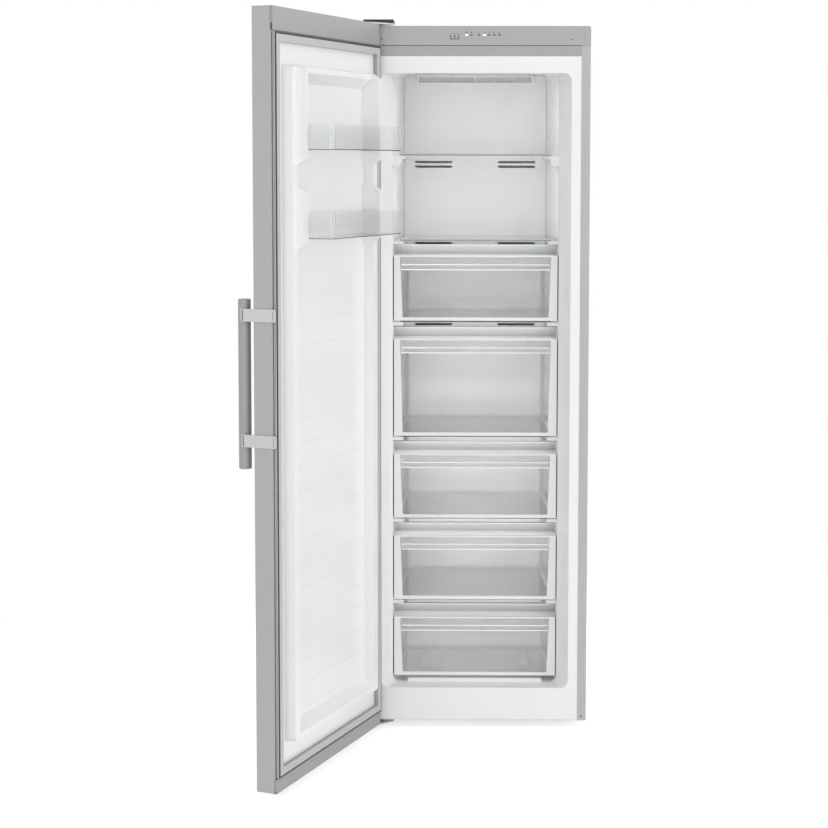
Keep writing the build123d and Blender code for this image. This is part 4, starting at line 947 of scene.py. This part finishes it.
@dataclass
class Door(Assembly):
    """The open door with its lining, seal, bins, hinge bushes and handle."""

    body: str = "door"
    opened: float = -111.6          # degrees from shut to where it stands
    hinge: Pair = (-283.7, -37.5)   # x and y of the pins
    seal_half: float = 294.5
    # The fold values place the band of painted shade on the seal.
    fold: Pair = (0.4, 5.9)         # in from the seal's outer edge
    fold_half: float = 0.1          # half its thickness
    lip_start: float = -2.2         # y of the seal's sloping lip where it begins, shut
    lip_slope: float = 1.6 / 6.5
    # The groove values place the strips of painted shade on the brackets.
    groove_face: float = 299.8      # outer face of the brackets, shut
    groove_proud: float = 0.07
    groove_span: Pair = (-89.2, -86.2)
    groove_levels: tuple[float, ...] = (1152.0, 857.6)
    groove_height: float = 26.6

    def build(self) -> None:
        """Dress the door."""
        self.dress(DOOR_ENAMEL, "door_skin")
        self.dress(RIGID_FOAM, "door_foam")
        self.dress(GREY_ABS, "door_end_caps")
        self.dress(FORMED_STYRENE, "door_liner")
        self.dress(SOFT_PVC, "door_gasket")
        self.dress(DARK_ABS_AND_SHADE, "hinge_bushes")
        self.dress(BRUSHED_ALUMINIUM, "handle_bar")
        self.dress(SATIN_ZINC, "handle_brackets")
        self.dress(CLEAR_STYRENE, "door_bin_1", "door_bin_2")
        self.seal_fold_shade()
        self.bracket_groove_shades()

    def place(self, x: float, y: float, z: float) -> Point:
        """Where a point of the shut door is now that the door stands open.

        Args:
            x, y, z: the point on the shut door, in millimetres.

        Returns:
            The same point on the open door, in metres.
        """
        turn = math.radians(self.opened)
        across, along = x - self.hinge[0], y - self.hinge[1]
        return ((self.hinge[0] + across * math.cos(turn) - along * math.sin(turn)) * MM,
                (self.hinge[1] + across * math.sin(turn) + along * math.cos(turn)) * MM,
                z * MM)

    def seal_fold_shade(self) -> None:
        """Add a nearly black band of painted shade along the fold that runs round the seal's
        sloping lip.
        """
        low, high = (corner.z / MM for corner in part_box("door_gasket"))
        outer, inner = self.fold
        mesh = bmesh.new()
        loops = []
        for inset, lift in ((outer, self.fold_half), (inner, self.fold_half),
                            (inner, -self.fold_half), (outer, -self.fold_half)):
            x, y = self.seal_half - inset, self.lip_start + self.lip_slope * inset + lift
            loops.append([mesh.verts.new(self.place(*corner)) for corner in (
                (-x, y, low + inset), (x, y, low + inset), (x, y, high - inset),
                (-x, y, high - inset))])
        for first, second in zip(loops, loops[1:] + loops[:1]):
            for i, start in enumerate(first):
                j = (i + 1) % len(first)
                mesh.faces.new((start, first[j], second[j], second[i]))
        bmesh.ops.recalc_face_normals(mesh, faces=mesh.faces)
        self.keep(finished("door_seal_fold_shade", mesh), FOLD_SHADE_PVC, "seal_pvc")

    def bracket_groove_shades(self) -> None:
        """Add a dark strip of painted shade in the upright groove near the bar on each handle
        bracket.
        """
        mesh = bmesh.new()
        for level in self.groove_levels:
            corners = []
            for x in (self.groove_face - SUNK, self.groove_face + self.groove_proud):
                for y in self.groove_span:
                    for z in (level - self.groove_height / 2, level + self.groove_height / 2):
                        corners.append(mesh.verts.new(self.place(x, y, z)))
            bmesh.ops.convex_hull(mesh, input=corners)
        bmesh.ops.recalc_face_normals(mesh, faces=mesh.faces)
        self.keep(finished("bracket_groove_shades", mesh), GROOVE_SHADE_ZINC, "bracket_metal")


@dataclass
class CoolingCircuit(Assembly):
    """The evaporator behind the duct, and the machine room at the rear."""

    def build(self) -> None:
        """Dress the circuit's parts."""
        self.dress(ROLLED_ALUMINIUM, "evaporator")
        self.dress(PLATED_STEEL, "defrost_heater")
        self.dress(DARK_ABS_AND_SHADE, "fan_motor", "mains_inlet", "fan_wheel")
        self.dress(WAXY_POLYPROPYLENE, "drain_parts")
        self.dress(MOULDED_RUBBER, "compressor_mounts")
        self.dress(BLACK_ENAMEL, "compressor")
        self.dress(DRAWN_COPPER, "refrigerant_pipes", "condenser")


@dataclass
class Supports(Assembly):
    """The levelling feet and the transport rollers."""

    def build(self) -> None:
        """Dress the feet and the rollers."""
        self.dress(DARK_ABS_AND_SHADE, "front_foot_left", "front_foot_right", "rear_roller_left",
                   "rear_roller_right")


# ---- studio


@dataclass(frozen=True)
class Softbox:
    """A large soft lamp."""

    name: str
    place: Point                    # in metres, as is what it is turned to
    target: Point
    size: Pair
    power: float                    # watts

    def hang(self) -> None:
        """Make the lamp and turn it to its target."""
        data = bpy.data.lights.new(self.name, "AREA")
        data.shape = "RECTANGLE"
        data.size, data.size_y = self.size
        data.energy = self.power
        lamp = bpy.data.objects.new(self.name, data)
        bpy.context.scene.collection.objects.link(lamp)
        lamp.location = self.place
        lamp.rotation_mode = "QUATERNION"
        way = Vector(self.target) - Vector(self.place)
        lamp.rotation_quaternion = way.to_track_quat("-Z", "Y")


# The lamps' powers were fitted to the photograph's tones, and every lamp hangs clear of what
# the flat fronts mirror to the camera. The two fills light the compartment from its mouth.
SOFTBOXES = (
    Softbox("left_softbox", (-1.7, -6.5, 1.4), (0.0, 0.2, 0.95), (1.5, 2.8), 40.0),
    Softbox("high_softbox", (0.0, -6.5, 3.5), (0.0, 0.2, 0.95), (3.6, 1.4), 10.0),
    Softbox("far_left_softbox", (-5.2, -2.6, 1.8), (0.0, 0.0, 0.95), (1.8, 2.6), 12.0),
    Softbox("side_softbox", (4.4, -4.0, 2.9), (-0.3, -0.2, 0.95), (1.6, 2.4), 36.0),
    Softbox("far_side_softbox", (5.2, -2.2, 1.4), (-0.3, -0.2, 0.95), (1.8, 2.6), 44.0),
    Softbox("rear_left_softbox", (-4.0, 5.0, 2.2), (0.0, 0.4, 0.95), (2.4, 2.8), 75.0),
    Softbox("rear_right_softbox", (4.0, 5.0, 2.2), (0.0, 0.4, 0.95), (2.4, 2.8), 50.0),
    Softbox("cabinet_fill", (0.0, 0.062, 1.0), (0.0, 0.4, 1.0), (0.4, 1.4), 1.85),
    Softbox("drawer_fill", (0.0, 0.13, 0.5), (0.0, 0.4, 0.5), (0.38, 0.7), 0.8))


@dataclass
class Studio:
    """The floor, the soft light and the camera; its lengths are in metres."""

    camera_place: Point = (-0.0312, -4.8018, 1.4971)
    tilt: float = 0.0807            # downwards, in radians, as are the next two
    turn: float = 0.0091
    roll: float = 0.0017
    focal_pixels: float = 1834.9
    shift: Pair = (-0.04, -0.12)
    sensor: float = 36.0            # millimetres
    floor_half: float = 12.0
    floor_lift: float = 0.5         # added white where the floor is seen, so that it matches
    floor_fade: Pair = (0.9, 1.9)   # it turns plain white over this distance
    paper: str = "#f6f6f6"
    white: str = "#ffffff"
    ambient: float = 0.74           # the air's light on the object, where white is 1

    def build(self) -> None:
        """Set up floor, backdrop, lamps and camera."""
        self.floor()
        self.world()
        for softbox in SOFTBOXES:
            softbox.hang()
        self.camera()

    def floor(self) -> None:
        """Lay a wide pale floor that turns into plain white away from the object."""
        half = self.floor_half
        mesh = bmesh.new()
        mesh.faces.new([mesh.verts.new(p) for p in
                        ((-half, -half, 0), (half, -half, 0), (half, half, 0), (-half, half, 0))])
        piece = finished("studio_floor", mesh)
        piece.data.materials.append(self.floor_paper())
        log.info("laid %s", piece.name)

    def floor_paper(self) -> Material:
        """Matt studio paper that takes shadows near the object and is plain white far off.

        Returns:
            The floor's material.
        """
        material = bpy.data.materials.new("studio_paper")
        material.use_nodes = True
        tree = material.node_tree
        tree.nodes.clear()
        shown = self.shown_rays(tree)
        paper = add_node(tree, "ShaderNodeBsdfDiffuse", {"Color": linear(self.paper)})
        lift = add_node(tree, "ShaderNodeMapRange", {"To Min": 0.0, "To Max": self.floor_lift},
                        {"Value": shown})
        glow = add_node(tree, "ShaderNodeEmission", {"Color": linear(self.white)},
                        {"Strength": lift.outputs["Result"]})
        near = add_node(tree, "ShaderNodeAddShader",
                        links={0: paper.outputs["BSDF"], 1: glow.outputs["Emission"]})
        place = add_node(tree, "ShaderNodeTexCoord")
        away = add_node(tree, "ShaderNodeVectorMath", links={0: place.outputs["Object"]},
                        operation="LENGTH")
        start, end = self.floor_fade
        fade = add_node(tree, "ShaderNodeMapRange", {"From Min": start, "From Max": end},
                        {"Value": away.outputs["Value"]}, interpolation_type="SMOOTHSTEP")
        share = add_node(tree, "ShaderNodeMath", links={0: fade.outputs["Result"], 1: shown},
                         operation="MULTIPLY")
        far = add_node(tree, "ShaderNodeEmission", {"Color": linear(self.white)})
        both = add_node(tree, "ShaderNodeMixShader",
                        links={0: share.outputs["Value"], 1: near.outputs["Shader"],
                               2: far.outputs["Emission"]})
        add_node(tree, "ShaderNodeOutputMaterial", links={"Surface": both.outputs["Shader"]})
        return material

    def shown_rays(self, tree: Tree) -> Socket:
        """Tell the rays that show the background, by sight, mirror or glass, from the rest.

        Args:
            tree: the node tree to add to.

        Returns:
            1 for those rays and 0 for all others.
        """
        path = add_node(tree, "ShaderNodeLightPath")
        seen = add_node(tree, "ShaderNodeMath",
                        links={0: path.outputs["Is Camera Ray"],
                               1: path.outputs["Is Transmission Ray"]}, operation="MAXIMUM")
        return add_node(tree, "ShaderNodeMath",
                        links={0: seen.outputs["Value"], 1: path.outputs["Is Glossy Ray"]},
                        operation="MAXIMUM").outputs["Value"]

    def world(self) -> None:
        """Fill the air: white to the camera, mirrors and glass, and plain light elsewhere."""
        world = bpy.data.worlds.new("studio_air")
        bpy.context.scene.world = world
        world.use_nodes = True
        tree = world.node_tree
        tree.nodes.clear()
        strength = add_node(tree, "ShaderNodeMapRange",
                            {"To Min": self.ambient, "To Max": 1.0},
                            {"Value": self.shown_rays(tree)})
        light = add_node(tree, "ShaderNodeBackground", {"Color": linear(self.white)},
                         {"Strength": strength.outputs["Result"]})
        add_node(tree, "ShaderNodeOutputWorld", links={"Surface": light.outputs["Background"]})

    def camera(self) -> None:
        """Stand the camera where the photograph was taken."""
        data = bpy.data.cameras.new("photo_camera")
        data.sensor_width = self.sensor
        data.lens = self.focal_pixels / PHOTO_SIDE * self.sensor
        data.shift_x, data.shift_y = self.shift
        camera = bpy.data.objects.new("photo_camera", data)
        bpy.context.scene.collection.objects.link(camera)
        camera.matrix_world = (Matrix.Translation(self.camera_place)
                               @ Matrix.Rotation(self.turn, 4, "Z")
                               @ Matrix.Rotation(math.pi / 2 - self.tilt, 4, "X")
                               @ Matrix.Rotation(self.roll, 4, "Z"))
        bpy.context.scene.camera = camera


def main() -> None:
    """Build every group."""
    logging.basicConfig(level=logging.INFO, format="%(message)s")
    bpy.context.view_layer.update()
    bpy.context.scene.view_settings.view_transform = "Standard"
    groups: list[Assembly] = [Case(), ControlPanel(), Compartment()]
    groups += [GlassShelf(f"shelf_{number}") for number in range(1, SHELVES + 1)]
    groups += [Drawer(f"drawer_{number}", number) for number in range(1, DRAWERS + 1)]
    groups += [Door(), CoolingCircuit(), Supports()]
    for group in groups:
        group.build()
    Studio().build()


if __name__ == "__main__":
    main()
